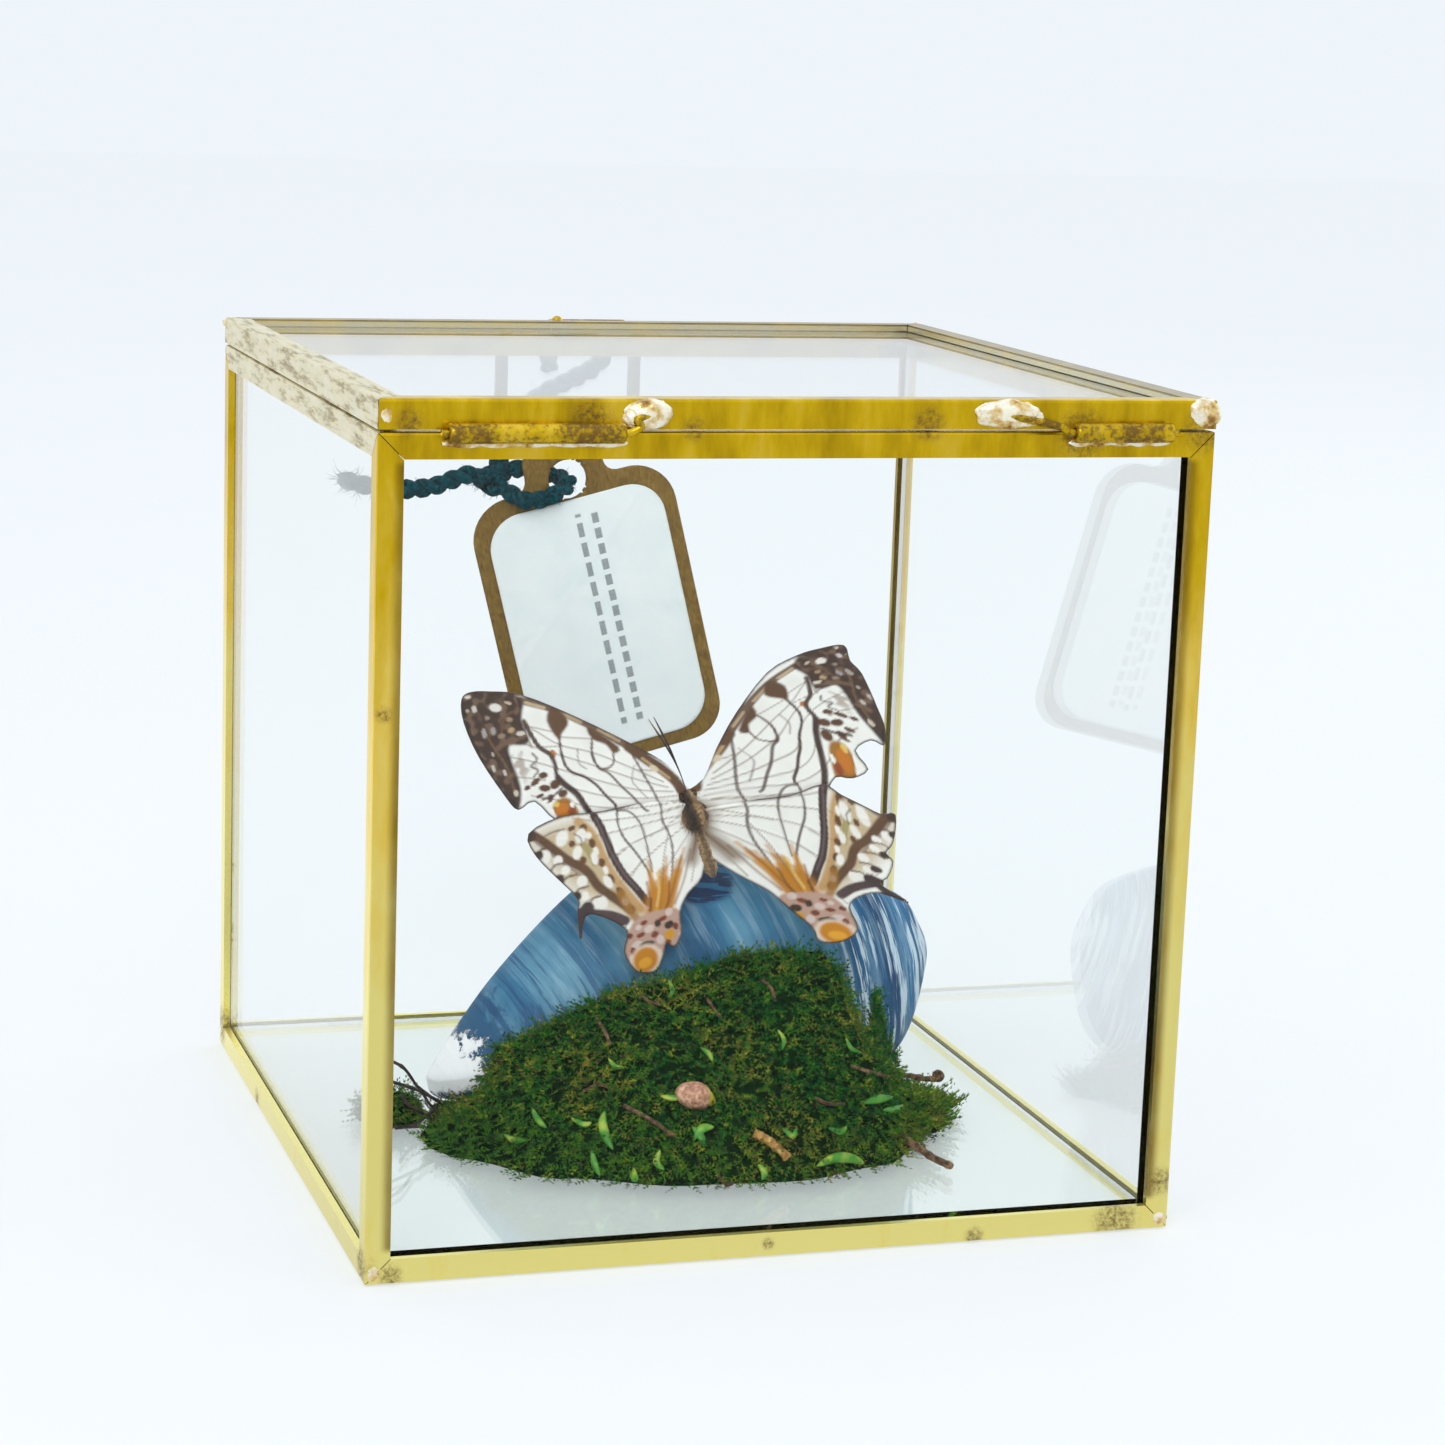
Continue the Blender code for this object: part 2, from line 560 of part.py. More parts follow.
def litter(pod_mat, twig_mat):
    """A seed pod and two twigs in the moss.  Returns the cutters that make room for them."""
    room = []
    pod_x, pod_y = -3.9, -27.0
    pod = Vector((pod_x, pod_y, moss_height(pod_x, pod_y) + 0.9))
    ellipsoid("seed_pod", pod, (2.7, 1.5, 1.9), pod_mat, 14, 8)
    room.append(ellipsoid("pod_room", pod, (3.0, 1.8, 2.2), None, 14, 8, cutter=True))
    low = FLOOR + SOFT_GAP + 0.8
    twigs = {
        "twig_front": ((24.6, -23.4, low + 0.9), (25.8, -27.0, low + 0.3), (26.6, -30.4, low), (27.6, -33.6, low)),
        "twig_side": ((28.6, -9.6, 8.6), (31.0, -8.8, 8.2), (33.4, -8.0, 7.4), (35.4, -7.4, 7.1)),
    }
    for name, route in twigs.items():
        path = spline(route, 3)
        wire(name, path, 0.55, twig_mat)
        room.append(wire(name + "_room", path, 0.55 + SOFT_GAP, cutter=True))
    return room


# Butterfly
def butterfly_axes():
    """Body axis towards the head, the way the specimen faces, its right side, and the wing root."""
    axis = (HEAD - TAIL).normalized()
    face = Vector((1, 0, 0)).cross(axis).normalized()
    side = axis.cross(face)
    root = HEAD - axis * ROOT_SETBACK
    return axis, face, side, root


def wing_frame(sign, lift, offset):
    """Matrix that lays a wing drawn in XY on its place; offset is towards the front."""
    axis, face, side, root = butterfly_axes()
    out = side * sign * math.cos(math.radians(lift)) + face * math.sin(math.radians(lift))
    normal = out.cross(axis)
    if normal.dot(face) < 0:
        normal = -normal
    matrix = Matrix((out, axis, normal)).transposed().to_4x4()
    matrix.translation = root + normal * offset
    return matrix


def wing(name, outline, sign, lift, offset, thickness, mat=None, cutter=False):
    bm = flat(name, [(spline(outline, 2, closed=True), True)], thickness)
    bmesh.ops.transform(bm, matrix=wing_frame(sign, lift, offset), verts=bm.verts)
    return finish(bm, name, mat, smooth=30, cutter=cutter)


def body(name, mat):
    """Abdomen, thorax and head as one turned form."""
    axis, face, side, root = butterfly_axes()
    length = (HEAD - TAIL).length
    girth = ((0.0, 0.05), (0.04, 0.55), (0.12, 0.95), (0.3, 1.15), (0.48, 1.05), (0.56, 0.95), (0.64, 1.5),
             (0.74, 1.75), (0.83, 1.45), (0.88, 0.9), (0.93, 1.15), (0.98, 0.8), (1.0, 0.05))
    bm = bmesh.new()
    bmesh.ops.create_uvsphere(bm, u_segments=12, v_segments=len(girth) + 1, radius=1.0)
    heights = sorted({round(v.co.z, 4) for v in bm.verts})
    for v in bm.verts:
        share, radius = girth[min(heights.index(round(v.co.z, 4)), len(girth) - 1)]
        turn = math.atan2(v.co.y, v.co.x)
        pole = abs(v.co.z) > 0.9999
        spread = 0.0 if pole else radius
        level = (0.0 if v.co.z < 0 else 1.0) if pole else share
        v.co = (TAIL + axis * length * level
                + (side * math.cos(turn) + face * math.sin(turn)) * spread)
    return finish(bm, name, mat, smooth=60)


def butterfly(mat):
    axis, face, side, root = butterfly_axes()
    whole = body("butterfly", mat)
    pieces = [
        wing("fore_left", FORE_LEFT, -1, LEFT_LIFT, 0.0, WING_THICK),
        wing("hind_left", HIND_LEFT, -1, LEFT_LIFT, HIND_OFFSET, WING_THICK),
        wing("fore_right", FORE_RIGHT, 1, RIGHT_LIFT, 0.0, WING_THICK),
        wing("hind_right", HIND_RIGHT, 1, RIGHT_LIFT, HIND_OFFSET, WING_THICK),
    ]
    brow = HEAD - axis * 1.0
    for name, lean in (("antenna_left", -1.0), ("antenna_right", -0.6)):
        tip = brow + axis * 12.0 + side * lean * 1.8
        middle = brow + axis * 6.0 + side * lean * 0.2
        pieces.append(wire(name, spline([brow, middle, tip], 3), 0.22, resolution=1))
    chest = root - axis * 1.6
    for i, (foot_x, hip) in enumerate(((-3.0, 0.4), (0.6, -0.6), (6.4, -1.4), (10.4, -0.4))):
        foot = Vector((foot_x, margin_y(foot_x) + 0.4, shell_edge(foot_x) + SOFT_GAP + 0.25))
        start = chest + axis * hip
        knee = Vector(((start.x + foot.x) / 2, -0.5, 42.5 + i % 2))
        pieces.append(wire(f"leg_{i}", spline([start, knee, foot], 4), 0.25, resolution=1))
    for piece in pieces:
        combine(whole, piece, "UNION")
    return whole


def shell_edge(x):
    """Height of the valve's upper edge at x."""
    rim = spline([(px, pz, 0.0) for px, pz in SHELL_OUTLINE], 3, closed=True)
    return max(p.y for p in rim if abs(p.x - x) < 4.0)


def wing_rooms():
    """Thicker wings, for cutting the moss clear of the hindwings."""
    ease = WING_THICK + 2 * SOFT_GAP
    return [
        wing("room_hind_left", HIND_LEFT, -1, LEFT_LIFT, HIND_OFFSET, ease, cutter=True),
        wing("room_hind_right", HIND_RIGHT, 1, RIGHT_LIFT, HIND_OFFSET, ease, cutter=True),
    ]


# Yarn and tag
def yarn(mat):
    wire("yarn_strand", spline(YARN_STRAND, 2), YARN, mat)
    wire("yarn_ring", spline(YARN_RING, 2), YARN, mat)
    wire("yarn_tail", spline(YARN_TAIL, 2), YARN, mat)
    ellipsoid("yarn_knot", KNOT, (2.4, 1.7, 2.3), mat, 14, 10)


def arc(centre, radius, start, end, steps=5):
    return [(centre[0] + radius * math.cos(math.radians(start + (end - start) * i / steps)),
             centre[1] + radius * math.sin(math.radians(start + (end - start) * i / steps)))
            for i in range(steps + 1)]


def tag_outline():
    """Right half from the bottom centre up, then its mirror image."""
    half, tab, r = TAG_WIDTH / 2, TAB_WIDTH / 2, TAG_ROUND
    foot_r, neck_r, tab_r = r - 1.0, 2.0, 2.5
    right = arc((half - foot_r, TAG_FOOT + foot_r), foot_r, -90, 0)
    right += arc((half - r, TAG_SHOULDER - r), r, 0, 84)
    right += arc((tab + neck_r, TAG_SHOULDER + neck_r), neck_r, 264, 180, 3)
    right += arc((tab - tab_r, TAG_TOP - tab_r), tab_r, 0, 90, 3)
    return right + [(-x, y) for x, y in reversed(right)]


def hang(bm, y):
    """Stand a flat shape upright behind the back pane, tilted as the tag hangs."""
    turn = Matrix.Rotation(math.pi / 2, 4, "X") @ Matrix.Rotation(math.radians(TAG_TILT), 4, "Z")
    shift = Matrix.Translation((TAG_CENTRE[0], y, TAG_CENTRE[1]))
    bmesh.ops.transform(bm, matrix=shift @ turn, verts=bm.verts)


def tag(card_mat, label_mat):
    hole_x, hole_y, hole_r = TAG_HOLE
    hole = arc((hole_x, hole_y), hole_r, 0, 360 - 22.5, 15)
    bm = flat("tag_card", [(tag_outline(), True), (hole, True)], CARD)
    hang(bm, TAG_Y + CARD / 2)
    finish(bm, "tag_card", card_mat, smooth=30)
    half_w, half_h = LABEL_SIZE[0] / 2, LABEL_SIZE[1] / 2
    r = LABEL_ROUND
    outline = (arc((half_w - r, -half_h + r), r, -90, 0) + arc((half_w - r, half_h - r), r, 0, 90)
               + arc((-half_w + r, half_h - r), r, 90, 180) + arc((-half_w + r, -half_h + r), r, 180, 270))
    outline = [(x, y - LABEL_DROP) for x, y in outline]
    bm = flat("tag_label", [(outline, True)], PAPER)
    hang(bm, TAG_Y - GAP - PAPER / 2)
    finish(bm, "tag_label", label_mat, smooth=30)


def main():
    for obj in list(bpy.data.objects):
        bpy.data.objects.remove(obj)
    for collection in (COLLECTION, CUTTERS):
        bpy.context.scene.collection.children.link(collection)

    brass = material("brass", (0.72, 0.56, 0.15), 0.3, metallic=1.0)
    glass = material("glass", (0.95, 0.98, 0.97), 0.02, transmission=1.0)
    shell_blue = material("shell", (0.09, 0.22, 0.4), 0.35)
    moss_green = material("moss", (0.03, 0.13, 0.02), 0.9)
    wing_cream = material("wing", (0.82, 0.77, 0.66), 0.6)
    pod_brown = material("seed_pod", (0.42, 0.24, 0.13), 0.6)
    twig_brown = material("twig", (0.12, 0.05, 0.03), 0.8)
    wool = material("yarn", (0.01, 0.09, 0.1), 0.9)
    card = material("card", (0.18, 0.11, 0.03), 0.8)
    paper = material("paper", (0.72, 0.78, 0.78), 0.8)

    case_frame(brass)
    panes(glass)
    lid(brass, glass)
    tube("hinge_tube_left", LEFT_TUBE, HINGE_Y, HINGE_Z, brass)
    tube("hinge_tube_right", RIGHT_TUBE, HINGE_Y, HINGE_Z, brass)
    hinge_wire("hinge_wire_left", LEFT_TUBE, LEFT_SOLDER, brass)
    hinge_wire("hinge_wire_right", RIGHT_TUBE, RIGHT_SOLDER, brass)
    tube("catch_tube", CATCH_TUBE, CATCH_Y, CATCH_Z, brass, bead=(-3.4, HEIGHT - 0.5, 0.95))
    catch_loop(brass)
    catch_stud(brass)
    shell(shell_blue)
    butterfly(wing_cream)
    moss(moss_green, litter(pod_brown, twig_brown) + wing_rooms())
    moss_tuft(moss_green)
    yarn(wool)
    tag(card, paper)


main()
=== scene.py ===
# %% [markdown]
# # A butterfly in a brass and glass box
#
# A square glass box, 10 cm on a side, is held in folded brass strip.  A mussel shell stands in moss on its
# floor pane, and a pinned butterfly rests on the shell's edge.  The lid swings on two hinges at one side, a
# wire catch closes it at the other, and a card tag hangs there on teal yarn.
#
# The CAD model gives every solid its place.  This lesson dresses it: each piece is worked in millimetres
# and turned into metres at the end, so that the numbers below can be read with a ruler.

# %% Load the packed model
import math
import random

import bmesh
import bpy
import numpy as np
from mathutils import Matrix, Vector, noise
from mathutils.bvhtree import BVHTree


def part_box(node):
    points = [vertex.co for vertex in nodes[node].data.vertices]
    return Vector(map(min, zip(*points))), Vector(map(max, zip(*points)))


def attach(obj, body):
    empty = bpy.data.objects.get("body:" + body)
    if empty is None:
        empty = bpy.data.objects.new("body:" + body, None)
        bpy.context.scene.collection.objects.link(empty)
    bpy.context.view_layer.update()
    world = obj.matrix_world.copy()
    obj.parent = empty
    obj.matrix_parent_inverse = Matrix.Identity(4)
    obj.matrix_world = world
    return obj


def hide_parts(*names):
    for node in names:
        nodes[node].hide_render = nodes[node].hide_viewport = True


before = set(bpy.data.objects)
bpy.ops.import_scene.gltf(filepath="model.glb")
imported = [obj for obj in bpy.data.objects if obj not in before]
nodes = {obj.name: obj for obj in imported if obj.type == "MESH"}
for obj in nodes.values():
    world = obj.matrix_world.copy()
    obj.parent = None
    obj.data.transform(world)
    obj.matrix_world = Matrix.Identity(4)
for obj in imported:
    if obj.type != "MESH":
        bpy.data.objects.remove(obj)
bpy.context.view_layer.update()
MM = 0.001
STRAIGHT_UP = Vector((0, 0, 1))
scene = bpy.context.scene

# %% [markdown]
# ## Where the photographer stood
#
# The box is seen from its hinge side, a hand's breadth above it and a little from the left.  Three turns
# and a place describe that; a long lens keeps the posts nearly parallel.

# %% Camera
YAW, PITCH, ROLL = math.radians(17.686), math.radians(11.169), math.radians(2.031)
ahead = Vector((math.sin(YAW) * math.cos(PITCH), math.cos(YAW) * math.cos(PITCH), -math.sin(PITCH)))
level_right = Vector((math.cos(YAW), -math.sin(YAW), 0))
level_up = level_right.cross(ahead)
right = level_right * math.cos(ROLL) + level_up * math.sin(ROLL)
up = level_up * math.cos(ROLL) - level_right * math.sin(ROLL)

lens = bpy.data.cameras.new("camera")
lens.lens = 88.59
lens.sensor_width = 36
lens.clip_start = 0.01
camera = bpy.data.objects.new("camera", lens)
camera.matrix_world = Matrix((right, up, -ahead)).transposed().to_4x4()
camera.matrix_world.translation = (-0.13036, -0.42919, 0.14322)
scene.collection.objects.link(camera)
scene.camera = camera
print("camera looks along", tuple(round(c, 2) for c in ahead))

# %% [markdown]
# ## Shader sums in plain Python
#
# A finish is a sum of masks, noises and colours.  Node by node that is long to write, so one small class
# wraps an output socket and turns Python's own + - * / into Math nodes.  Colours go through Mix nodes, and
# every other node comes from the one method `node`.


# %% The Signal class
class Signal:
    """What comes out of one socket of a shader."""

    def __init__(self, tree, socket=None):
        self.tree = tree
        self.socket = socket

    def node(self, kind, settings=None, inputs=None, output=0):
        """Add a node: its settings first, then the values or links of its sockets."""
        made = self.tree.nodes.new("ShaderNode" + kind)
        for key, value in (settings or {}).items():
            if key == "stops":
                ramp = made.color_ramp
                while len(ramp.elements) < len(value):
                    ramp.elements.new(1.0)
                for element, (position, colour) in zip(ramp.elements, value):
                    element.position = position
                    element.color = colour
            else:
                setattr(made, key, value)
        for key, value in (inputs or {}).items():
            if isinstance(value, Signal):
                self.tree.links.new(value.socket, made.inputs[key])
            else:
                made.inputs[key].default_value = value
        return Signal(self.tree, made.outputs[output])

    def sum(self, operation, *values):
        return self.node("Math", {"operation": operation}, dict(enumerate(values)))

    def __add__(self, other):
        return self.sum("ADD", self, other)

    def __sub__(self, other):
        return self.sum("SUBTRACT", self, other)

    def __rsub__(self, other):
        return self.sum("SUBTRACT", other, self)

    def __mul__(self, other):
        return self.sum("MULTIPLY", self, other)

    def __truediv__(self, other):
        return self.sum("DIVIDE", self, other)

    __radd__ = __add__
    __rmul__ = __mul__

    def step(self, low, high):
        """0 up to low, 1 from high on, with a soft shoulder; low may be the larger one."""
        return self.node("MapRange", {"interpolation_type": "SMOOTHSTEP"}, {0: self, 1: low, 2: high})

    def most(self, other):
        return self.sum("MAXIMUM", self, other)

    def absolute(self):
        return self.sum("ABSOLUTE", self)

    def clamped(self):
        return self.node("Clamp", None, {0: self})

    def mix(self, low, high):
        """One colour where this mask is 0, the other where it is 1."""
        return self.node("Mix", {"data_type": "RGBA"}, {0: self, 6: low, 7: high}, output=2)

    def ramp(self, *stops):
        return self.node("ValToRGB", {"stops": stops}, {0: self})

    def times(self, factors):
        return self.node("VectorMath", {"operation": "MULTIPLY"}, {0: self, 1: factors})

    def moved(self, step):
        return self.node("VectorMath", {"operation": "ADD"}, {0: self, 1: step})

    def dot(self, direction):
        """How far a place lies along a direction."""
        return self.node("VectorMath", {"operation": "DOT_PRODUCT"}, {0: self, 1: direction}, output=1)

    def part(self, axis):
        return self.node("SeparateXYZ", None, {0: self}, output="XYZ".index(axis))

    def noise(self, scale, detail=2.0, rough=0.5, warp=0.0):
        return self.node("TexNoise", None, {"Vector": self, "Scale": scale, "Detail": detail,
                                            "Roughness": rough, "Distortion": warp})

    def near(self, point, reach, soft=0.5):
        """1 within reach of a point, fading to 0 over the share soft of it."""
        far = self.node("VectorMath", {"operation": "DISTANCE"}, {0: self, 1: point}, output=1)
        return far.step(reach, reach * (1 - soft))


def rgb(red, green, blue):
    """A colour as a screen shows it, 0 to 255, as the light it stands for."""
    return tuple(c / 12.92 if c <= 0.04045 else ((c + 0.055) / 1.055) ** 2.4
                 for c in (red / 255, green / 255, blue / 255)) + (1.0,)


def finish_of(name, recipe=None, **fixed):
    """A material.  Fixed values go on the shader's own sockets; the recipe returns what varies.

    The recipe gets the place on the piece in millimetres and returns sockets with their signals; its
    Height feeds a Bump node and is in millimetres as well.
    """
    material = bpy.data.materials.new(name)
    material.use_nodes = True
    tree = material.node_tree
    shader = tree.nodes["Principled BSDF"]
    for key, value in fixed.items():
        shader.inputs[key.replace("_", " ")].default_value = value
    varied = {}
    if recipe:
        at = Signal(tree).node("TexCoord", output="Object").times((1 / MM, 1 / MM, 1 / MM))
        varied = recipe(at)
    for key, value in varied.items():
        if key == "Height":
            value = value.node("Bump", None, {"Height": value, "Distance": MM})
            key = "Normal"
        tree.links.new(value.socket, shader.inputs[key])
    return material


def swap_in(material, share, kind, colour):
    """Let a plain shader of one colour stand in for the material's own, where share is 1."""
    tree = material.node_tree
    own = Signal(tree, tree.nodes["Principled BSDF"].outputs[0])
    other = own.node(kind, None, {"Color": colour})
    either = own.node("MixShader", None, {0: share, 1: own, 2: other})
    tree.links.new(either.socket, tree.nodes["Material Output"].inputs[0])


def speckled(name, grain, *stops, bumps=None, **fixed):
    """A finish of one noise through a few colours.

    grain has the noise's scale, detail and roughness; bumps has those of the height, and its depth.
    """
    def recipe(at):
        sockets = {"Base Color": at.noise(*grain).ramp(*stops)}
        if bumps:
            sockets["Height"] = at.noise(*bumps[:-1]) * bumps[-1]
        return sockets

    return finish_of(name, recipe, **fixed)


print("shader words:", [w for w in vars(Signal) if not w.startswith("__")])

# %% [markdown]
# ## A bright, soft room
#
# The photo is nearly white all round: pale wall, pale table, no hard shadow.  A white world does most of
# that.  Glass shows what stands behind the photographer, and a white room there would lay a veil over
# everything in the box.  So reflections get a darker room on that side, and a dark table, as a
# photographer of glass lays black cloth before it.  Two lamps give the soft shadow and the shine.

# %% World
ROOM = (0.86, 0.912, 0.956, 1)
DIM = (0.70, 0.72, 0.70, 1)
TO_FAR_WALL = (0, 1.0, 0.55)
world = bpy.data.worlds.new("room")
world.use_nodes = True
scene.world = world
scene.view_settings.view_transform = "Standard"
air = Signal(world.node_tree)
facing = air.node("TexCoord", output="Generated").dot(TO_FAR_WALL)
bounces = air.node("LightPath", output="Glossy Depth")
mirrored = bounces.sum("MINIMUM", bounces, 1.0)
bright = (facing.step(-0.55, 0.3) - 1.0) * mirrored + 1.0
tone = bright.mix(DIM, ROOM)
world.node_tree.links.new(tone.socket, world.node_tree.nodes["Background"].inputs["Color"])
print("room:", world.name)

# %% [markdown]
# The table is a flat square of the set, which isn't part of the object.  It glows a little, so that it runs
# into the wall.  Mirrors see it darker in front, as under cloth.

# %% Table
TABLE_HALF, TABLE_TOP = 3.0, -0.0002
DARK_CLOTH = (0.60, 0.61, 0.60, 1)
cloth = finish_of("table", Base_Color=(0.42, 0.42, 0.42, 1), Roughness=0.9, Specular_IOR_Level=0.0,
                  Emission_Color=ROOM, Emission_Strength=0.57)
spot = Signal(cloth.node_tree)
depth = spot.node("TexCoord", output="Object").part("Y")
front = spot.node("MapRange", None, {0: depth, 1: 0.06, 2: -0.08})
bounces = spot.node("LightPath", output="Glossy Depth")
swap_in(cloth, (front * bounces).clamped(), "Emission", DARK_CLOTH)

bm = bmesh.new()
bmesh.ops.create_grid(bm, x_segments=1, y_segments=1, size=TABLE_HALF,
                      matrix=Matrix.Translation((0, 0, TABLE_TOP)))
mesh = bpy.data.meshes.new("table")
bm.to_mesh(mesh)
bm.free()
mesh.materials.append(cloth)
obj = bpy.data.objects.new("table", mesh)
scene.collection.objects.link(obj)
print("set:", obj.name)

# %% Lamps


def softbox(name, place, aim, size, brightness, colour=(1, 1, 1)):
    """A square lamp; brightness is how much lighter than a white card it looks."""
    lamp = bpy.data.lights.new(name, "AREA")
    lamp.size = size
    lamp.energy = brightness * math.pi * size * size
    lamp.color = colour
    obj = bpy.data.objects.new(name, lamp)
    obj.matrix_world = (Vector(aim) - Vector(place)).to_track_quat("-Z", "Y").to_matrix().to_4x4()
    obj.matrix_world.translation = place
    scene.collection.objects.link(obj)


softbox("lamp_above", (-0.3, -0.62, 0.62), (0, 0, 0.03), 0.55, 2.6)
softbox("lamp_window", (0.7, 0.5, 0.6), (0, 0, 0.05), 0.5, 1.0, (0.94, 0.98, 1.0))

# %% [markdown]
# ## Brass that has been handled
#
# The strip is thin folded brass, polished once and left alone since.  Its colour is painted paler yellow low
# down and deeper olive gold along the top: a painted reflection of the room, with random tone mixed in.
# Brown specks sit near the joints, the top rails at the left are worn grey, and the lid's far rails get
# painted shade, brownish on top over pale grey.  A painted shadow runs along the inner edge of each post,
# over the dark joint with the glass.  On a mirror-like metal the colour is nearly all there is, so the
# recipe mixes it from height for the painted reflection, from wide soft clouds and from listed stains.

# %% Brass finishes
# PALE to DEEP carry the painted reflection on the brass, from low down to the top, and its random tone.
PALE = rgb(255, 242, 148)
GOLD = rgb(254, 220, 98)
OLIVE = rgb(228, 190, 22)
DEEP = rgb(180, 144, 2)
BROWN = rgb(98, 66, 30)
# Colour of the painted shadow and dark joint along the inner edge of the posts.
JOINT_AND_SHADOW = rgb(122, 92, 20)
GREY_GOLD = rgb(232, 226, 198)
STAINS = (
    # place, radius
    (-48.8, -50.0, 66.5, 1.1), (-1.5, -50.0, 1.6, 0.9), (24.6, -50.0, 0.6, 1.4), (43.0, -50.0, 1.2, 3.2),
    (48.6, -50.0, 6.0, 2.0), (-47.0, -50.0, 1.0, 1.6), (48.5, -50.0, 98.0, 3.0), (-46.5, -50.0, 99.0, 1.8),
    (-14.0, -50.0, 98.2, 1.6), (-26.0, -50.0, 99.0, 3.0), (14.0, -50.0, 98.8, 2.4), (33.0, -50.0, 97.5, 3.6),
    (-50.0, -48.0, 2.0, 2.5), (-50.0, 48.0, 3.0, 3.0), (-50.0, 20.0, 1.0, 1.5), (50.0, 46.0, 4.0, 3.0),
    (46.0, 50.0, 96.0, 3.2), (-47.0, 50.0, 97.0, 3.0), (-20.0, 50.0, 100.5, 2.0), (22.0, 50.0, 1.4, 2.0),
)


def brass_recipe(tarnish=0.0, wear=0.0, top_shade=0.0):
    """tarnish browns the whole piece, wear turns it grey and streaked; the last argument paints shade on the
    lid's far rails, brown on top, pale grey below.
    """

    def recipe(at):
        height = at.part("Z")
        cloud = at.times((0.4, 0.4, 1.0)).noise(0.16, 3.0, 0.55)
        along = at.times((1.0, 1.0, 0.3)).noise(0.2, 4.0, 0.6)
        fine = at.noise(1.6, 4.0, 0.65)
        scratch = at.times((1.0, 1.0, 0.06)).noise(5.0, 3.0, 0.6)
        # Painted reflection: the height step makes the brass paler low down and deeper olive gold up top, as
        # it mirrors the room; the along noise adds random tone.
        reflection_and_tone = height.step(18.0, 99.0) * 0.85 + along * 1.1 - 0.62
        colour = reflection_and_tone.clamped().ramp((0.0, PALE), (0.4, GOLD), (0.72, OLIVE), (1.0, DEEP))
        dirt = at.times((1.0, 0.16, 1.0)).noise(0.7, 4.0, 0.7)
        worn = (cloud + fine * 0.35 - 0.62 + wear).step(0.0, 0.35) * min(wear * 2.0, 1.0)
        grey = dirt.ramp((0.36, rgb(150, 138, 104)), (0.5, GREY_GOLD), (0.66, rgb(240, 236, 218)))
        colour = worn.mix(colour, grey)
        stain = (fine + along - 1.28 + tarnish).step(0.0, 0.3)
        for *place, size in STAINS:
            stain = stain.most(at.near(place, size * 1.2, 0.7) * (fine * 3.2 - 1.0))
        stain = stain.clamped()
        colour = (stain * 0.85).mix(colour, BROWN)
        # Painted shade on the lid's far rails: brown on the top face, pale grey below it, in patches set by
        # the along noise.
        if top_shade:
            top = height.step(101.25, 101.5)
            colour = (along * 0.6 + top_shade - 0.3).mix(colour, top.mix(rgb(226, 222, 200), rgb(136, 120, 76)))
        # Painted shadow along the inner edge of the upright strips, over the dark joint where the strip
        # meets the glass.
        inner_edge = at.part("X").absolute().step(48.5, 47.2)
        fold = inner_edge * height.step(3.5, 4.5) * height.step(95.0, 94.0)
        colour = (fold * (along * 0.7 + 0.35)).mix(colour, JOINT_AND_SHADOW)
        return {
            "Base Color": colour,
            "Roughness": 0.2 + fine * 0.1 + stain * 0.25 + worn * 0.2,
            "Metallic": 0.86 - stain * 0.3 - worn * 0.35,
            "Height": scratch * 0.003 + fine * 0.0015 + cloud * 0.07 + along * 0.06,
        }

    return recipe


brass = finish_of("brass", brass_recipe())
brass_worn = finish_of("brass_worn", brass_recipe(wear=0.42))
brass_shaded_top = finish_of("brass_shaded_top", brass_recipe(top_shade=0.8))
brass_tarnished = finish_of("brass_tarnished", brass_recipe(tarnish=0.44))
# The solder's noise runs from copper brown through gold to near white: painted shade and painted highlights
# around its own gold-cream colour.
solder = finish_of("solder", lambda at: {
    "Base Color": at.noise(0.5, 3.0, 0.6).ramp(
        (0.3, rgb(150, 104, 44)), (0.42, rgb(226, 192, 120)), (0.55, rgb(255, 250, 230))),
    "Roughness": at.noise(1.2) * 0.25 + 0.12,
    "Height": at.noise(0.9, 3.0) * 0.12,
}, Metallic=0.55)
print("brass finishes:", [m.name for m in (brass, brass_worn, brass_shaded_top, brass_tarnished, solder)])

# %% [markdown]
# ## Clear glass
#
# Plain window glass, 2 mm thick.  The Principled shader with transmission does the work.  Shadow rays pass
# it through a Transparent shader, because otherwise the sheet would throw a dark shadow over everything in
# the box.  The floor pane is seen at a low angle and looks greener.  The front and back panes bend light
# less than glass does, because the photo shows almost no mirror image in them.

# %% Glass finish
CLEAR = (0.985, 0.996, 0.993, 1)
SHADOW_TINT = (0.985, 0.995, 0.995, 1)


def glass_finish(name, colour, ior=1.45):
    """Clear sheet with faint smears; ior is how much it bends and mirrors."""
    made = finish_of(name, lambda at: {"Roughness": at.noise(0.05, 3.0, 0.6).step(0.5, 0.75) * 0.02},
                     Base_Color=colour, Transmission_Weight=1.0, IOR=ior)
    shadow_ray = Signal(made.node_tree).node("LightPath", output="Is Shadow Ray")
    swap_in(made, shadow_ray, "BsdfTransparent", SHADOW_TINT)
    return made


glass = glass_finish("glass", CLEAR)
glass_floor = glass_finish("glass_floor", (0.94, 0.985, 0.945, 1))
glass_front = glass_finish("glass_front", CLEAR, ior=1.18)
PANES = {"pane_bottom": glass_floor, "pane_front": glass_front, "pane_back": glass_front}
print("glass:", glass.name, glass_floor.name, glass_front.name)

# %% Dress the CAD frame
dressed = []
for name, node in nodes.items():
    if name.startswith("pane_"):
        finish = PANES.get(name, glass)
    elif name in ("lid_left", "case_top_left"):
        finish = brass_worn
    elif name in ("lid_back", "lid_right"):
        finish = brass_shaded_top
    elif name.startswith(("case_", "lid_")):
        finish = brass
    elif name.startswith(("hinge_", "catch_")):
        finish = brass_tarnished
    else:
        continue
    for place in node.material_slots:
        place.material = finish
    dressed.append(name)
print("dressed", len(dressed), "CAD nodes")
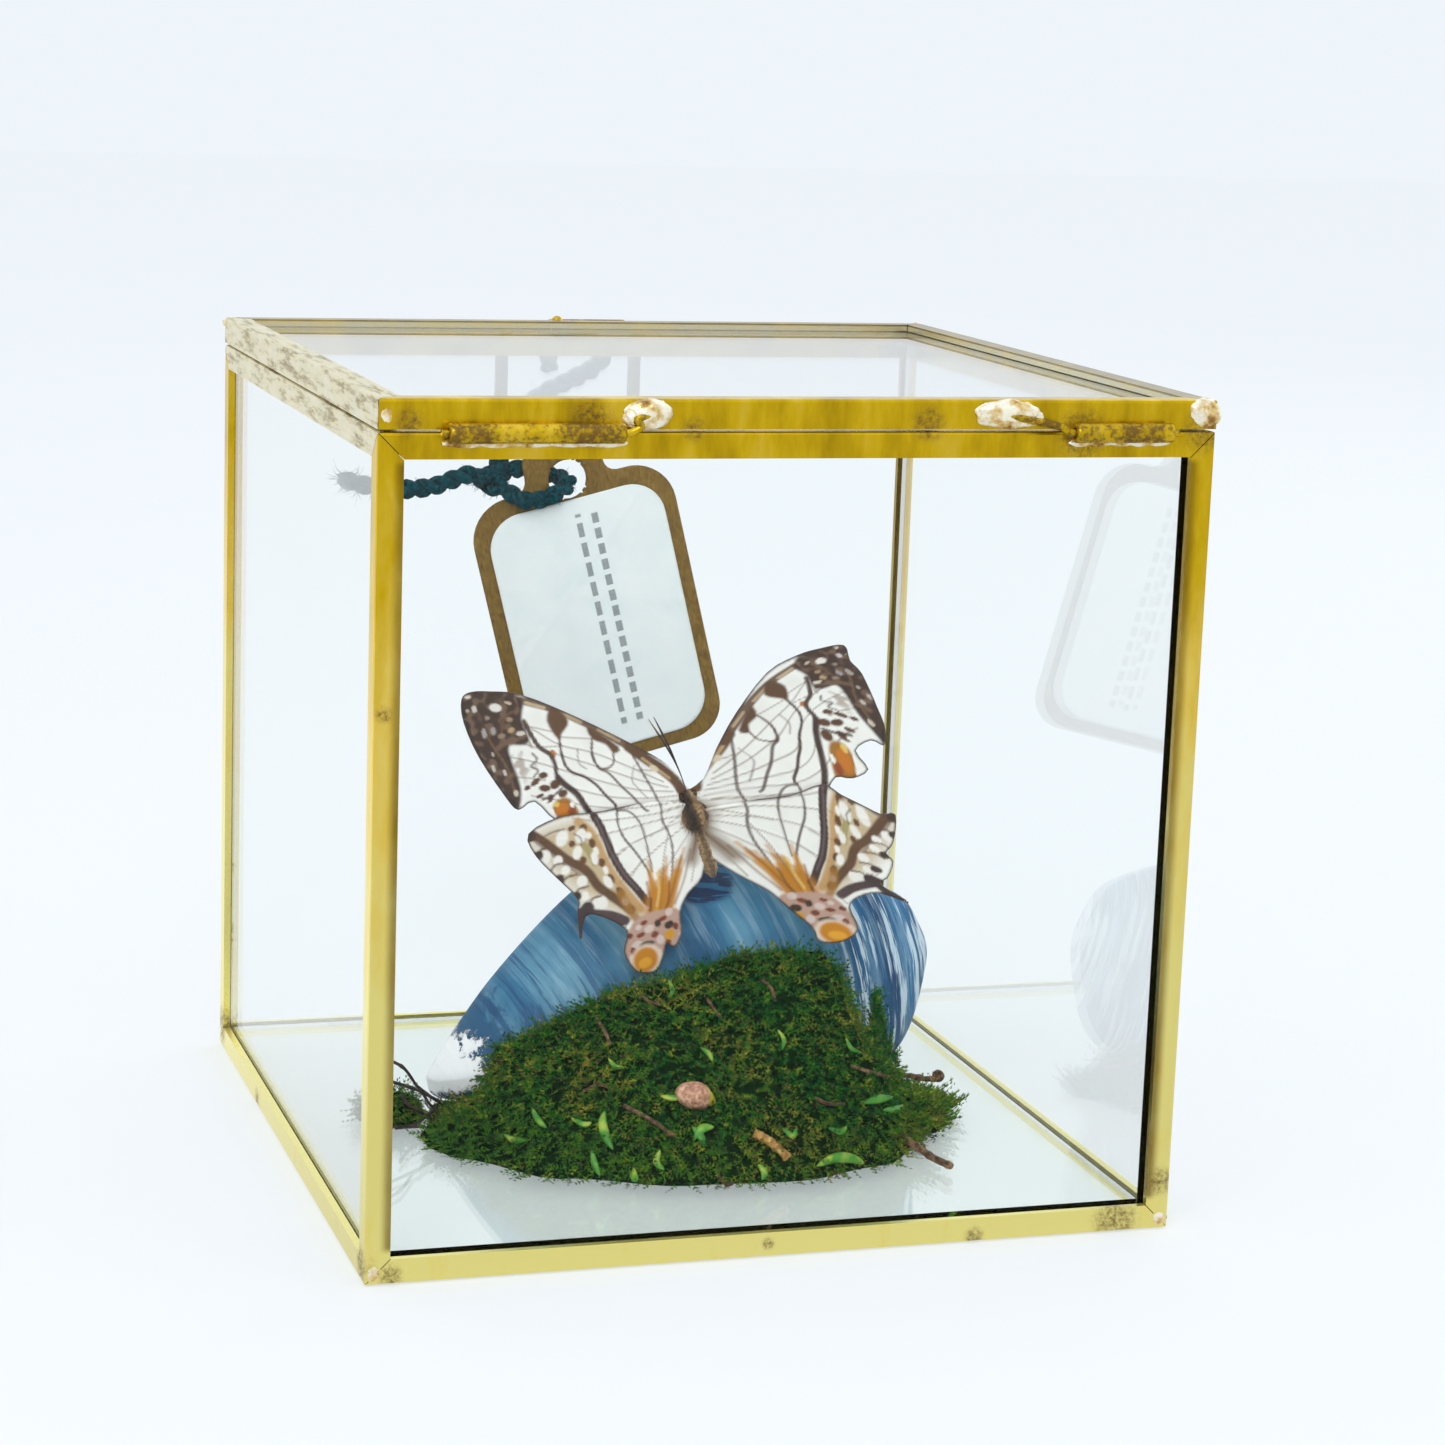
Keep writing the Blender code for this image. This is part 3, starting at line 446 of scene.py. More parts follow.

# %% [markdown]
# ## Tools for the bench
#
# A few helpers serve all pieces: a smooth line through given points, a rod along a line, a step that
# writes a finished piece, one that gives a sheet its thickness, and a drawn outline that is cut out of a
# fine grid.  The grid matters for wings and paper: it gives enough points to bend the sheet and to paint
# on it.


# %% Lines and rods
def smooth_line(points, steps, closed=False):
    """Catmull-Rom curve through the points, as an array."""
    pts = np.array(points, float)
    if closed:
        ring = np.vstack((pts[-1:], pts, pts[:2]))
    else:
        ring = np.vstack((2 * pts[:1] - pts[1:2], pts, 2 * pts[-1:] - pts[-2:-1]))
    out = []
    for a, b, c, d in zip(ring, ring[1:], ring[2:], ring[3:]):
        for t in np.arange(steps) / steps:
            out.append(0.5 * (2 * b + (c - a) * t + (2 * a - 5 * b + 4 * c - d) * t * t
                              + (3 * b - a - 3 * c + d) * t ** 3))
    if not closed:
        out.append(pts[-1])
    return np.array(out)


def path_through(points, steps):
    """A smooth line, or a straight one where there are only two points."""
    return smooth_line(points, steps) if len(points) > 2 else np.array(points, float)


def rod(bm, points, radius, sides=8):
    """Sweep a round section along the points by extruding it from one to the next.

    radius is a number, or a list with one for each point.
    """
    pts = [Vector(p) for p in points]
    radii = list(radius) if hasattr(radius, "__len__") else [radius] * len(pts)
    ways = [(b - a).normalized() for a, b in zip(pts, pts[1:])]
    ways = [ways[0]] + [(a + b).normalized() for a, b in zip(ways, ways[1:])] + [ways[-1]]
    ring = bmesh.ops.create_circle(bm, cap_ends=True, segments=sides, radius=radii[0])["verts"]
    turn = STRAIGHT_UP.rotation_difference(ways[0]).to_matrix().to_4x4()
    bmesh.ops.transform(bm, matrix=Matrix.Translation(pts[0]) @ turn, verts=ring)
    face = ring[0].link_faces[0]
    for i in range(1, len(pts)):
        grown = bmesh.ops.extrude_face_region(bm, geom=[face])
        ring = [g for g in grown["geom"] if isinstance(g, bmesh.types.BMVert)]
        face = next(g for g in grown["geom"] if isinstance(g, bmesh.types.BMFace))
        spin = ways[i - 1].rotation_difference(ways[i]).to_matrix().to_4x4()
        move = (Matrix.Translation(pts[i]) @ spin @ Matrix.Scale(radii[i] / radii[i - 1], 4)
                @ Matrix.Translation(-pts[i - 1]))
        bmesh.ops.transform(bm, matrix=move, verts=ring)


def put(bm, name, body, slot, *materials, stands_for=(), smooth=40.0, closed=True):
    """Write a piece that was worked in millimetres, and hand it to its body; slot is not used."""
    if closed:
        bmesh.ops.recalc_face_normals(bm, faces=bm.faces)
    bmesh.ops.scale(bm, vec=(MM, MM, MM), verts=bm.verts)
    mesh = bpy.data.meshes.new(name)
    bm.to_mesh(mesh)
    bm.free()
    mesh.shade_smooth()
    if smooth < 180:
        mesh.set_sharp_from_angle(angle=math.radians(smooth))
    for material in materials:
        mesh.materials.append(material)
    obj = bpy.data.objects.new(name, mesh)
    scene.collection.objects.link(obj)
    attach(obj, body)
    if stands_for:
        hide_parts(*stands_for)
    print(f"{name}: {len(mesh.polygons)} faces")
    return obj


def thicken(obj, name, thickness, offset=0.0):
    """Give a sheet its thickness in millimetres, half on each side; offset -1 puts it on the inner one."""
    wall = obj.modifiers.new(name, "SOLIDIFY")
    wall.thickness = thickness * MM
    wall.offset = offset
    return wall


# %% Sheets cut from a fine grid
def to_line(points, line, closed=False):
    """Distance from each 2-D point to a line, and the nearest place on it."""
    ends = np.vstack((line, line[:1])) if closed else line
    best = np.full(len(points), 1e9)
    place = np.zeros_like(points)
    for a, b in zip(ends, ends[1:]):
        along = b - a
        t = np.clip(((points - a) @ along) / max(along @ along, 1e-9), 0, 1)[:, None]
        near = a + t * along
        far = np.linalg.norm(points - near, axis=1)
        closer = far < best
        best[closer] = far[closer]
        place[closer] = near[closer]
    return best, place


def inside(points, outline):
    """True for each 2-D point that lies within the closed outline."""
    odd = np.zeros(len(points), bool)
    x, y = points.T
    for (ax, ay), (bx, by) in zip(outline, np.roll(outline, -1, axis=0)):
        crosses = (ay > y) != (by > y)
        with np.errstate(divide="ignore", invalid="ignore"):
            odd ^= crosses & (x < (bx - ax) * (y - ay) / (by - ay) + ax)
    return odd


def cut_sheet(outline, cell, holes=()):
    """A flat grid trimmed to an outline, its rim drawn onto the line."""
    low, high = outline.min(0) - cell, outline.max(0) + cell
    counts = [max(int(n), 1) for n in (high - low) / cell]
    bm = bmesh.new()
    bmesh.ops.create_grid(bm, x_segments=counts[0], y_segments=counts[1], size=0.5)
    bmesh.ops.scale(bm, vec=(*(high - low), 1), verts=bm.verts)
    bmesh.ops.translate(bm, vec=(*((high + low) / 2), 0), verts=bm.verts)
    spots = np.array([v.co.xy for v in bm.verts])
    keep = inside(spots, outline)
    keep |= to_line(spots, outline, True)[0] < cell * 0.35
    for hole in holes:
        keep &= ~inside(spots, hole)
    bmesh.ops.delete(bm, geom=[v for v, k in zip(bm.verts, keep) if not k], context="VERTS")
    loose = [v for v in bm.verts if not v.link_faces]
    bmesh.ops.delete(bm, geom=loose, context="VERTS")
    rim = [v for v in bm.verts if v.is_boundary]
    spots = np.array([v.co.xy for v in rim])
    far, place = to_line(spots, outline, True)
    for hole in holes:
        hole_far, hole_place = to_line(spots, hole, True)
        closer = hole_far < far
        place[closer] = hole_place[closer]
        far = np.minimum(far, hole_far)
    for v, (x, y), gap in zip(rim, place, far):
        if gap < cell * 1.2:
            v.co.xy = (x, y)
    return bm


print("bench tools are ready")

# %% [markdown]
# ## The mussel shell
#
# A mussel's growth lines are its old margins, each a smaller copy of the last one, all drawn towards the
# beak.  So the finish measures how far each point lies from the beak, and draws its rings along that.
# The form is half a ball, bent to the outline; Solidify gives the wall, with mother-of-pearl inside.

# %% Shell form
BEAK = Vector((-29.5, 8.0, 4.0))
SHELL_YAW = -0.0985
SHELL_DEPTH = 11.5
SHELL_WALL = 1.2
SHELL_CROWN = np.array((-4.0, 15.5))
SHELL_START = np.array((-30.2, 3.2))
SHELL_LENGTH = 68.0
SHELL_OUTLINE = (
    (-29.8, 5.6), (-29.0, 8.5), (-21.5, 20.0), (-11.0, 31.5), (-3.5, 35.3), (4.5, 35.7), (17.5, 33.6),
    (31.0, 30.7), (35.3, 26.0), (36.5, 20.5), (33.5, 9.5), (26.0, 5.0), (12.0, 3.9), (-4.0, 3.7),
    (-20.0, 3.6), (-28.0, 3.6),
)


def margin_y(x):
    """The valve's margin lies in one upright plane, turned a little."""
    return BEAK.y + SHELL_YAW * (x - BEAK.x)


def grow_to(x, z):
    """Share of the way from the beak to the margin, and the direction in quarter turns."""
    ray = np.array((x, z)) - SHELL_START
    turn = math.atan2(ray[1], ray[0])
    far = float(np.hypot(*ray))
    share = far / np.interp(turn, *SHELL_REACH)
    return 0.78 * far / SHELL_LENGTH + 0.22 * float(share), turn / (math.pi / 2)


shell_line = smooth_line(SHELL_OUTLINE, 14, closed=True)
rays = shell_line - SHELL_START
order = np.argsort(np.arctan2(rays[:, 1], rays[:, 0]))
SHELL_REACH = (np.arctan2(rays[:, 1], rays[:, 0])[order], np.hypot(*rays.T)[order])

bm = bmesh.new()
bmesh.ops.create_uvsphere(bm, u_segments=len(shell_line), v_segments=112, radius=1.0)
bmesh.ops.delete(bm, geom=[v for v in bm.verts if v.co.z < -0.001], context="VERTS")
for v in bm.verts:
    rise = min(max(v.co.z, 0.0), 1.0)
    turn = math.atan2(v.co.y, v.co.x) / (2 * math.pi) * len(shell_line)
    rim_point = shell_line[round(turn) % len(shell_line)]
    x, z = SHELL_CROWN + (rim_point - SHELL_CROWN) * math.sqrt(1 - rise * rise)
    age, bearing = grow_to(x, z)
    lines = 0.10 * noise.noise((age * 46, bearing * 0.6, 3)) + 0.05 * noise.noise((age * 130, bearing, 7))
    wander = 0.12 * noise.noise((x * 0.25, z * 0.25, 5))
    swell = (lines + wander - 0.12) * min(rise * 4, 1)
    v.co = Vector((x, margin_y(x) - SHELL_DEPTH * rise ** 1.15 - swell, z))
bmesh.ops.recalc_face_normals(bm, faces=bm.faces)
if min(bm.faces, key=lambda f: f.calc_center_median().y).normal.y > 0:
    bmesh.ops.reverse_faces(bm, faces=bm.faces)
print("shell skin:", len(bm.faces), "faces")

# %% [markdown]
# Outside, the shell is slate blue in wide rings, stronger blue with white strokes towards the lip, and worn
# to white chalk at the beak.  A dark patch shows under the butterfly's body.  Inside it is pale and glossy.

# %% Shell finishes


def grown(at):
    """How far a point lies from the beak, as a share of the length, and a place that runs with the rings."""
    away = at.moved((-SHELL_START[0], 0.0, -SHELL_START[1])).times((1.0, 0.0, 1.0))
    far = away.node("VectorMath", {"operation": "LENGTH"}, {0: away}, output=1)
    slope = away.part("Z") / far
    age = far / SHELL_LENGTH - slope * slope * 0.1
    return age, age.node("CombineXYZ", None, {0: age, 1: slope * 0.05, 2: 0.37})


def shell_outside(at):
    age, ring_place = grown(at)
    wide = ring_place.noise(13.0, 3.0, 0.6)
    rings = ring_place.noise(48.0, 4.0, 0.7)
    strokes = ring_place.noise(80.0, 4.0, 0.7)
    cloud = at.noise(0.12, 3.0, 0.6)
    blue = (wide * 0.7 + cloud * 0.3).ramp(
        (0.34, rgb(8, 76, 116)), (0.45, rgb(50, 112, 146)), (0.56, rgb(84, 138, 166)),
        (0.70, rgb(132, 174, 194)))
    lip = age.step(0.80, 0.85)
    blue = (lip * 0.9).mix(blue, wide.ramp((0.38, rgb(0, 52, 98)), (0.62, rgb(20, 104, 154))))
    pale = rings.step(0.52, 0.62) * (cloud * 1.6 - 0.3) * age.step(0.05, 0.3)
    blue = (pale.clamped() * 0.5).mix(blue, rgb(166, 198, 214))
    arcs = age.step(0.40, 0.32) * rings.step(0.5, 0.42) * age.step(0.08, 0.14)
    blue = (arcs * 0.75).mix(blue, rgb(22, 72, 118))
    white = strokes.step(0.50, 0.57) * lip
    blue = (white * 0.9).mix(blue, rgb(206, 226, 236))
    x, z = at.part("X"), at.part("Z")
    dusk = at.near((4.4, 0.0, 34.2), 5.0, 0.25) * z.step(30.4, 31.2)
    dusk = dusk * (at.noise(0.5, 2.0) + 0.5).step(0.6, 0.9)
    wavy = at.times((0.25, 1.0, 1.6)).noise(0.9, 2.0, 0.5, 0.6).step(0.46, 0.54)
    blue = dusk.mix(blue, wavy.mix(rgb(4, 40, 78), rgb(28, 96, 134)))
    jag = at.noise(0.7, 4.0, 0.8) * 14.0 - 7.0
    reach = x + z * 0.25 + jag
    above = z + jag * 0.5
    worn = reach.step(-21.2, -22.0) * (above - x * 0.45).step(17.0, 18.2) * above.step(13.2, 12.2)
    blue = (reach.step(-16.5, -19.5) * 0.7).mix(blue, rgb(10, 66, 108))
    blue = worn.mix(blue, rgb(250, 251, 252))
    return {
        "Base Color": blue,
        "Roughness": 0.38 + cloud * 0.2 + worn * 0.3,
        "Height": rings * 0.16 + strokes * 0.07 - worn * 0.25,
    }


def shell_inside(at):
    bands = grown(at)[1].noise(9.0, 3.0, 0.5)
    return {
        "Base Color": (bands * 0.8 + at.noise(0.08) * 0.2).ramp(
            (0.3, rgb(120, 142, 176)), (0.48, rgb(206, 214, 226)), (0.6, rgb(232, 226, 232)),
            (0.75, rgb(196, 216, 224))),
        "Height": at.noise(0.3, 3.0) * 0.1,
    }


shell_skin = finish_of("shell_skin", shell_outside, Specular_IOR_Level=0.4)
shell_pearl = finish_of("shell_pearl", shell_inside, Roughness=0.22, Coat_Weight=0.5)
shell = put(bm, "shell_valve", "case", "shell", shell_skin, shell_pearl, stands_for=["shell"],
            smooth=180, closed=False)
thicken(shell, "Wall", SHELL_WALL, offset=-1.0).material_offset = 1
print("shell inside finish:", shell_pearl.name)

# %% [markdown]
# ## The butterfly's wings
#
# A wing is a sheet as thin as paper, cut to a drawn outline.  Its pattern is what makes it: cream windows
# between fine veins, dark wavy lines across them, a brown tip with pale spots, orange corners.  Bump and
# noise can't draw that, so it is painted from listed strokes: each stroke below is a few points along the
# wing (in millimetres from the root) and a width, laid onto the grid's points as a colour attribute.  Both
# sides of a butterfly match, so the right wings take the same strokes, warped to their own shape by a few
# landmarks.

# %% Wing frames
HEAD = Vector((-0.58, -7.5, 47.34))
TAIL = Vector((4.04, -6.0, 35.3))
body_axis = (HEAD - TAIL).normalized()
body_face = Vector((1, 0, 0)).cross(body_axis).normalized()
body_side = body_axis.cross(body_face)
wing_root = HEAD - body_axis * 2.2


def wing_place(sign, lift, offset):
    """Matrix that lays a wing drawn in XY beside the body, raised by lift degrees."""
    out = body_side * sign * math.cos(math.radians(lift)) + body_face * math.sin(math.radians(lift))
    normal = out.cross(body_axis)
    if normal.dot(body_face) < 0:
        normal = -normal
    matrix = Matrix((out, body_axis, normal)).transposed().to_4x4()
    matrix.translation = wing_root + normal * offset
    return matrix


FORE_LEFT = ((-0.5, 1.5), (1.2, 6.2), (4.0, 10.0), (10.8, 17.7), (16.6, 23.4), (20.1, 25.4), (22.5, 26.4),
             (23.9, 26.0), (24.6, 23.1), (24.2, 18.1), (22.6, 11.6), (21.6, 9.4), (19.3, 9.5), (17.3, 5.6),
             (13.3, 2.4), (8.6, 1.4), (4.2, 0.2), (0.0, -1.4), )
HIND_LEFT = ((-0.3, -0.4), (4.9, 2.9), (11.5, 4.6), (16.7, 6.3), (21.5, 6.1), (21.5, 2.8), (19.6, -1.7),
             (18.2, -5.0), (18.8, -6.8), (19.7, -10.9), (18.0, -7.7), (15.9, -8.7), (13.4, -12.0),
             (14.6, -14.6), (14.1, -17.5), (12.9, -18.6), (11.2, -19.0), (9.6, -17.3), (8.9, -16.2),
             (7.9, -17.1), (6.4, -15.6), (5.8, -12.9), (4.1, -11.0), (1.6, -9.7), (-0.2, -5.5), )
FORE_RIGHT = ((-0.5, 1.4), (2.7, 3.3), (5.6, 7.2), (9.5, 11.6), (14.9, 16.3), (19.2, 17.9), (22.5, 18.3),
              (25.5, 18.2), (25.7, 16.0), (26.7, 14.0), (27.4, 9.0), (27.6, 6.2), (26.9, 3.9), (25.4, 4.9),
              (23.1, 3.8), (24.0, 1.0), (21.7, 0.1), (19.6, 0.6), (17.4, -1.4), (12.1, -2.4), (6.8, -2.2),
              (0.0, -1.8), )
HIND_RIGHT = (
    (-0.3, -1.3), (6.6, -0.5), (13.2, -0.6), (17.8, 0.2), (19.7, -1.6), (21.8, -3.4), (24.0, -5.2),
    (25.9, -5.6), (24.6, -9.4), (23.3, -10.7), (23.9, -12.1), (22.6, -14.2), (21.4, -15.0), (24.9, -18.6),
    (21.1, -16.2), (18.0, -16.4), (16.6, -17.7), (16.9, -20.7), (15.5, -22.0), (13.4, -22.4), (11.2, -21.7),
    (10.9, -19.7), (8.6, -16.4), (6.9, -13.8), (5.0, -12.0), (2.1, -9.3), (-0.2, -5.8),
)
print("wing root at", tuple(round(c, 1) for c in wing_root))

# %% Brushes


class Painting:
    """Colours of many points of a wing, laid on stroke by stroke."""

    def __init__(self, points, ground):
        self.points = points
        self.colour = np.tile(np.array(ground[:3]), (len(points), 1))

    def lay(self, mask, colour):
        mask = np.clip(mask, 0, 1)[:, None]
        self.colour = self.colour * (1 - mask) + np.array(colour[:3]) * mask

    def line(self, colour, width, *points, strength=1.0, soft=0.12):
        """A smooth stroke through the points."""
        far = to_line(self.points, path_through(points, 4))[0]
        self.lay(strength * (1 - np.clip((far - width / 2) / soft + 0.5, 0, 1)), colour)

    def patch(self, colour, *points, strength=1.0, soft=0.3):
        """A filled form with a soft edge."""
        outline = smooth_line(points, 3, closed=True)
        far = to_line(self.points, outline, True)[0]
        far[inside(self.points, outline)] *= -1
        self.lay(strength * (0.5 - far / soft), colour)

    def spot(self, colour, x, y, across, up=None, tilt=0.0):
        """A filled oval."""
        turn = math.radians(tilt)
        dx, dy = (self.points - (x, y)).T
        u = (dx * math.cos(turn) + dy * math.sin(turn)) / across
        v = (dy * math.cos(turn) - dx * math.sin(turn)) / (up or across)
        self.lay((1 - np.hypot(u, v)) * 4, colour)

    def spots(self, colour, *rows):
        """Ovals of one colour; each row is x, y, across, up and tilt."""
        for row in rows:
            self.spot(colour, *row)


def grain(points, scale, seed):
    """Soft noise over 2-D points."""
    return np.array([noise.noise((u * scale, v * scale, seed)) for u, v in points])


# %% Wing pattern, ground and veins
CREAM = rgb(252, 250, 244)
VEIN = rgb(168, 156, 142)
LINE = rgb(86, 66, 56)
DARK = rgb(62, 42, 34)
UMBER = rgb(98, 66, 40)
OCHRE = rgb(168, 112, 28)
ORANGE = rgb(206, 118, 8)
AMBER = rgb(222, 158, 20)
TAN = rgb(190, 156, 112)
VIOLET = rgb(106, 88, 98)
PINK = rgb(224, 204, 196)

VEINS = (
    ((2.5, 4.5), (6.0, 8.2), (10.2, 12.3), (14.0, 15.2), (16.8, 18.8), (20.5, 22.5), (23.0, 25.0)),
    ((2.2, 3.6), (6.0, 6.6), (10.3, 10.4), (14.0, 13.6), (17.5, 16.6), (21.0, 19.5), (24.0, 21.5)),
    ((1.8, 2.8), (6.0, 5.0), (10.0, 8.0), (13.8, 11.2), (17.0, 13.9), (20.5, 16.4), (24.0, 18.3)),
    ((1.4, 2.0), (5.6, 3.6), (9.7, 5.7), (13.6, 8.6), (16.9, 11.4), (20.2, 13.4), (23.0, 14.5)),
    ((1.2, 1.3), (5.0, 2.4), (9.3, 3.9), (13.0, 6.0), (16.4, 8.4), (19.4, 10.4)),
    ((0.8, 0.5), (4.4, 1.1), (8.6, 2.3), (12.6, 3.8), (15.6, 5.6)),
    ((0.6, -0.8), (4.6, 0.2), (9.0, 1.0), (13.5, 2.0), (17.6, 3.4), (21.0, 4.8)),
    ((0.6, -1.3), (4.2, -1.2), (8.9, -1.2), (12.3, -1.6), (16.2, -1.6), (19.6, -1.0)),
    ((0.6, -1.8), (4.0, -2.6), (8.0, -3.9), (11.5, -5.2), (15.4, -5.8), (18.4, -5.6)),
    ((0.5, -2.4), (3.2, -4.4), (6.3, -6.6), (9.4, -8.6), (12.4, -10.6), (14.6, -12.6)),
    ((0.4, -3.0), (2.6, -5.8), (4.9, -8.6), (7.0, -11.4), (8.2, -14.6), (8.4, -16.6)),
    ((0.2, -3.6), (1.6, -6.6), (3.2, -9.6)),
    ((10.0, 14.2), (13.4, 16.0)), ((13.8, 16.8), (16.8, 19.0)), ((14.0, 15.0), (16.0, 15.8)),
    ((1.7, 0.8), (3.8, 1.2)), ((1.8, -0.4), (4.0, -0.9), (6.5, -1.3)), ((10.2, -1.5), (11.5, -1.8)),
    ((8.8, -4.0), (11.0, -5.6)), ((4.2, -2.0), (5.8, -5.0), (6.5, -7.0)), ((3.4, 6.6), (5.4, 7.6)),
)


def paint_windows(art):
    """Cream ground, shaded towards the body, with the veins and the fine wavy lines across it."""
    root = 1 - np.linalg.norm(art.points - (0.3, -0.8), axis=1) / 2.2
    art.lay(root * 1.1, rgb(134, 106, 78))
    inner = 1 - to_line(art.points, np.array(((0.0, -1.0), (0.6, -4.0), (2.2, -6.8))))[0] / 1.5
    art.lay(inner, rgb(120, 92, 64))
    art.lay(grain(art.points, 0.35, 11) * 0.3, rgb(222, 216, 206))
    for vein in VEINS:
        art.line(VEIN, 0.16, *vein, strength=0.85)
    art.line(LINE, 0.3, (5.5, 10.5), (5.0, 8.0), (4.6, 6.0), (4.2, 4.0), (4.0, 2.0), (4.4, 0.0),
             (4.1, -2.0), (4.2, -4.0), (4.8, -6.0), (5.6, -8.0), strength=0.85)
    art.line(UMBER, 0.24, (7.6, 11.2), (8.0, 9.8), (9.0, 9.5), (10.0, 10.0), (10.3, 12.0), (9.9, 13.3))
    art.line(LINE, 0.3, (9.7, 14.0), (10.3, 12.0), (10.0, 10.0), (9.0, 8.8), (8.0, 6.5), (7.0, 4.5),
             (6.2, 2.5), (5.8, 2.0), strength=0.9)
    art.line(LINE, 0.34, (13.6, 16.5), (14.0, 14.5), (14.1, 12.5), (13.5, 11.0), (12.2, 9.8), (11.0, 8.0),
             (10.3, 6.2), (9.5, 4.5), (9.7, 3.8))
    art.line(LINE, 0.26, (9.7, 3.8), (8.5, 3.3), (7.6, 2.0), (7.2, 0.0), (7.4, -3.0), (7.7, -6.0),
             strength=0.85)
    art.line(LINE, 0.3, (9.7, 3.8), (10.1, 2.0), (9.9, 0.0), (9.2, -2.0), (8.6, -4.0), (8.2, -6.0),
             (8.5, -8.0), (9.2, -9.5), strength=0.9)
    art.line(LINE, 0.22, (5.6, 8.3), (6.4, 6.6), (5.9, 5.0), (5.2, 3.4), strength=0.5)
    art.line(LINE, 0.2, (11.9, 13.6), (12.3, 11.8), (11.6, 10.6), strength=0.55)


# %% Wing pattern, forewing edges
def paint_forewing(art):
    """Brown front edge with its pale streaks, the dark tip and the orange corner."""
    edge = ((1.0, 4.0), (2.3, 6.3), (3.5, 8.0), (5.5, 11.0), (9.0, 15.3), (13.0, 19.6), (17.0, 22.8))
    art.line(UMBER, 1.3, (0.6, 2.4), *edge[:4], soft=0.25)
    art.line(TAN, 0.35, (1.6, 4.6), (3.0, 6.8), (4.3, 8.8))
    art.spot(rgb(222, 206, 178), 3.2, 6.8, 0.42, 0.8, -35)
    art.line(UMBER, 0.9, *edge[3:], strength=0.95, soft=0.2)
    art.line(rgb(206, 178, 140), 0.32, (6.4, 12.2), (8.6, 14.8), strength=0.8)
    art.line(rgb(206, 178, 140), 0.36, (10.4, 16.7), (12.8, 19.2), strength=0.8)
    art.line(rgb(214, 190, 152), 0.4, (14.3, 20.5), (16.4, 22.2), strength=0.8)
    art.patch(UMBER, (6.7, 11.5), (9.7, 15.7), (9.7, 14.0), (8.2, 12.5), (7.6, 11.0))
    art.patch(UMBER, (11.9, 17.6), (13.2, 20.2), (14.5, 18.8), (13.9, 15.9), (13.2, 16.4))
    art.spot(rgb(196, 116, 48), 15.2, 14.4, 0.5, 0.7)
    art.line(LINE, 0.55, (17.3, 20.0), (17.0, 18.0), (16.5, 16.0), (15.5, 14.5), (15.3, 13.0), (15.5, 11.5),
             (14.8, 9.8), (13.7, 8.0), (13.2, 6.0), (12.8, 4.5), (12.4, 3.0))
    # the dark tip and the band below it
    art.patch(DARK, (16.7, 22.8), (17.5, 20.4), (17.4, 17.4), (18.5, 17.2), (20.0, 17.8), (20.4, 16.4),
              (20.3, 13.4), (20.6, 11.2), (21.8, 9.4), (23.4, 12.0), (25.0, 18.0), (25.2, 24.0),
              (24.4, 26.8), (22.0, 27.0), (19.5, 26.0), soft=0.35)
    mottle = np.clip(grain(art.points, 0.9, 4) * 2.4, 0, 0.6)
    from_tip = np.hypot(*(art.points - (22.0, 21.0)).T)
    tip = np.clip((9.5 - from_tip) / 2.0, 0, 1) * (art.points[:, 0] > 17.2)
    art.lay(tip * mottle, rgb(138, 108, 84))
    art.line(rgb(122, 92, 62), 0.3, (21.3, 12.0), (21.2, 15.0), (22.0, 18.4), (22.6, 21.4), strength=0.75)
    art.line(rgb(132, 104, 78), 0.22, (22.6, 12.6), (23.4, 16.0), (23.9, 19.6), (24.1, 22.6), strength=0.7)
    art.line(rgb(118, 84, 52), 0.35, (18.2, 21.8), (19.5, 21.5), (20.4, 20.0), (20.9, 18.6), strength=0.7)
    for u, v, across, up, tilt, colour in (
            (23.1, 26.0, 0.5, 0.3, 30, (226, 216, 204)), (22.8, 24.2, 0.4, 0.55, 0, (214, 204, 196)),
            (20.2, 23.2, 0.95, 0.6, 35, (240, 234, 226)), (22.6, 20.7, 0.4, 0.75, 10, (176, 166, 160)),
            (20.6, 19.4, 0.55, 0.4, 20, (150, 128, 108)), (22.9, 15.9, 0.25, 0.6, 0, (206, 196, 186)),
            (19.0, 21.0, 0.5, 0.35, 30, (168, 140, 110)), (21.6, 22.4, 0.4, 0.3, 30, (160, 140, 124)),
            (18.5, 23.1, 0.6, 0.22, 40, (206, 186, 158)), (21.4, 20.5, 0.42, 0.6, 10, (168, 160, 158)),
            (19.2, 19.6, 0.5, 0.4, 0, (196, 162, 120)), (18.2, 18.7, 0.7, 0.35, 20, (220, 210, 196)),
            (21.7, 14.7, 0.3, 0.5, 0, (206, 196, 186)), (21.2, 11.6, 0.35, 0.5, 0, (214, 200, 180)),
            (22.4, 17.6, 0.22, 0.35, 0, (196, 184, 172)), (23.7, 24.4, 0.2, 0.3, 0, (190, 176, 160))):
        art.spot(rgb(*colour), u, v, across, up, tilt)
    # black scalloped rim
    for u, v in (
            (24.3, 24.4), (24.4, 22.6), (24.4, 20.8), (24.2, 19.0), (24.0, 17.2), (23.6, 15.4),
            (23.2, 13.6), (22.7, 11.8), (22.0, 10.2)):
        art.spot(rgb(34, 26, 26), u, v, 0.5, 0.95, -8)
    # the window beyond the fourth line, with its squiggle
    art.line(LINE, 0.28, (17.6, 15.6), (17.3, 14.6), (18.3, 14.1), (17.6, 13.2), (18.4, 12.6), strength=0.8)
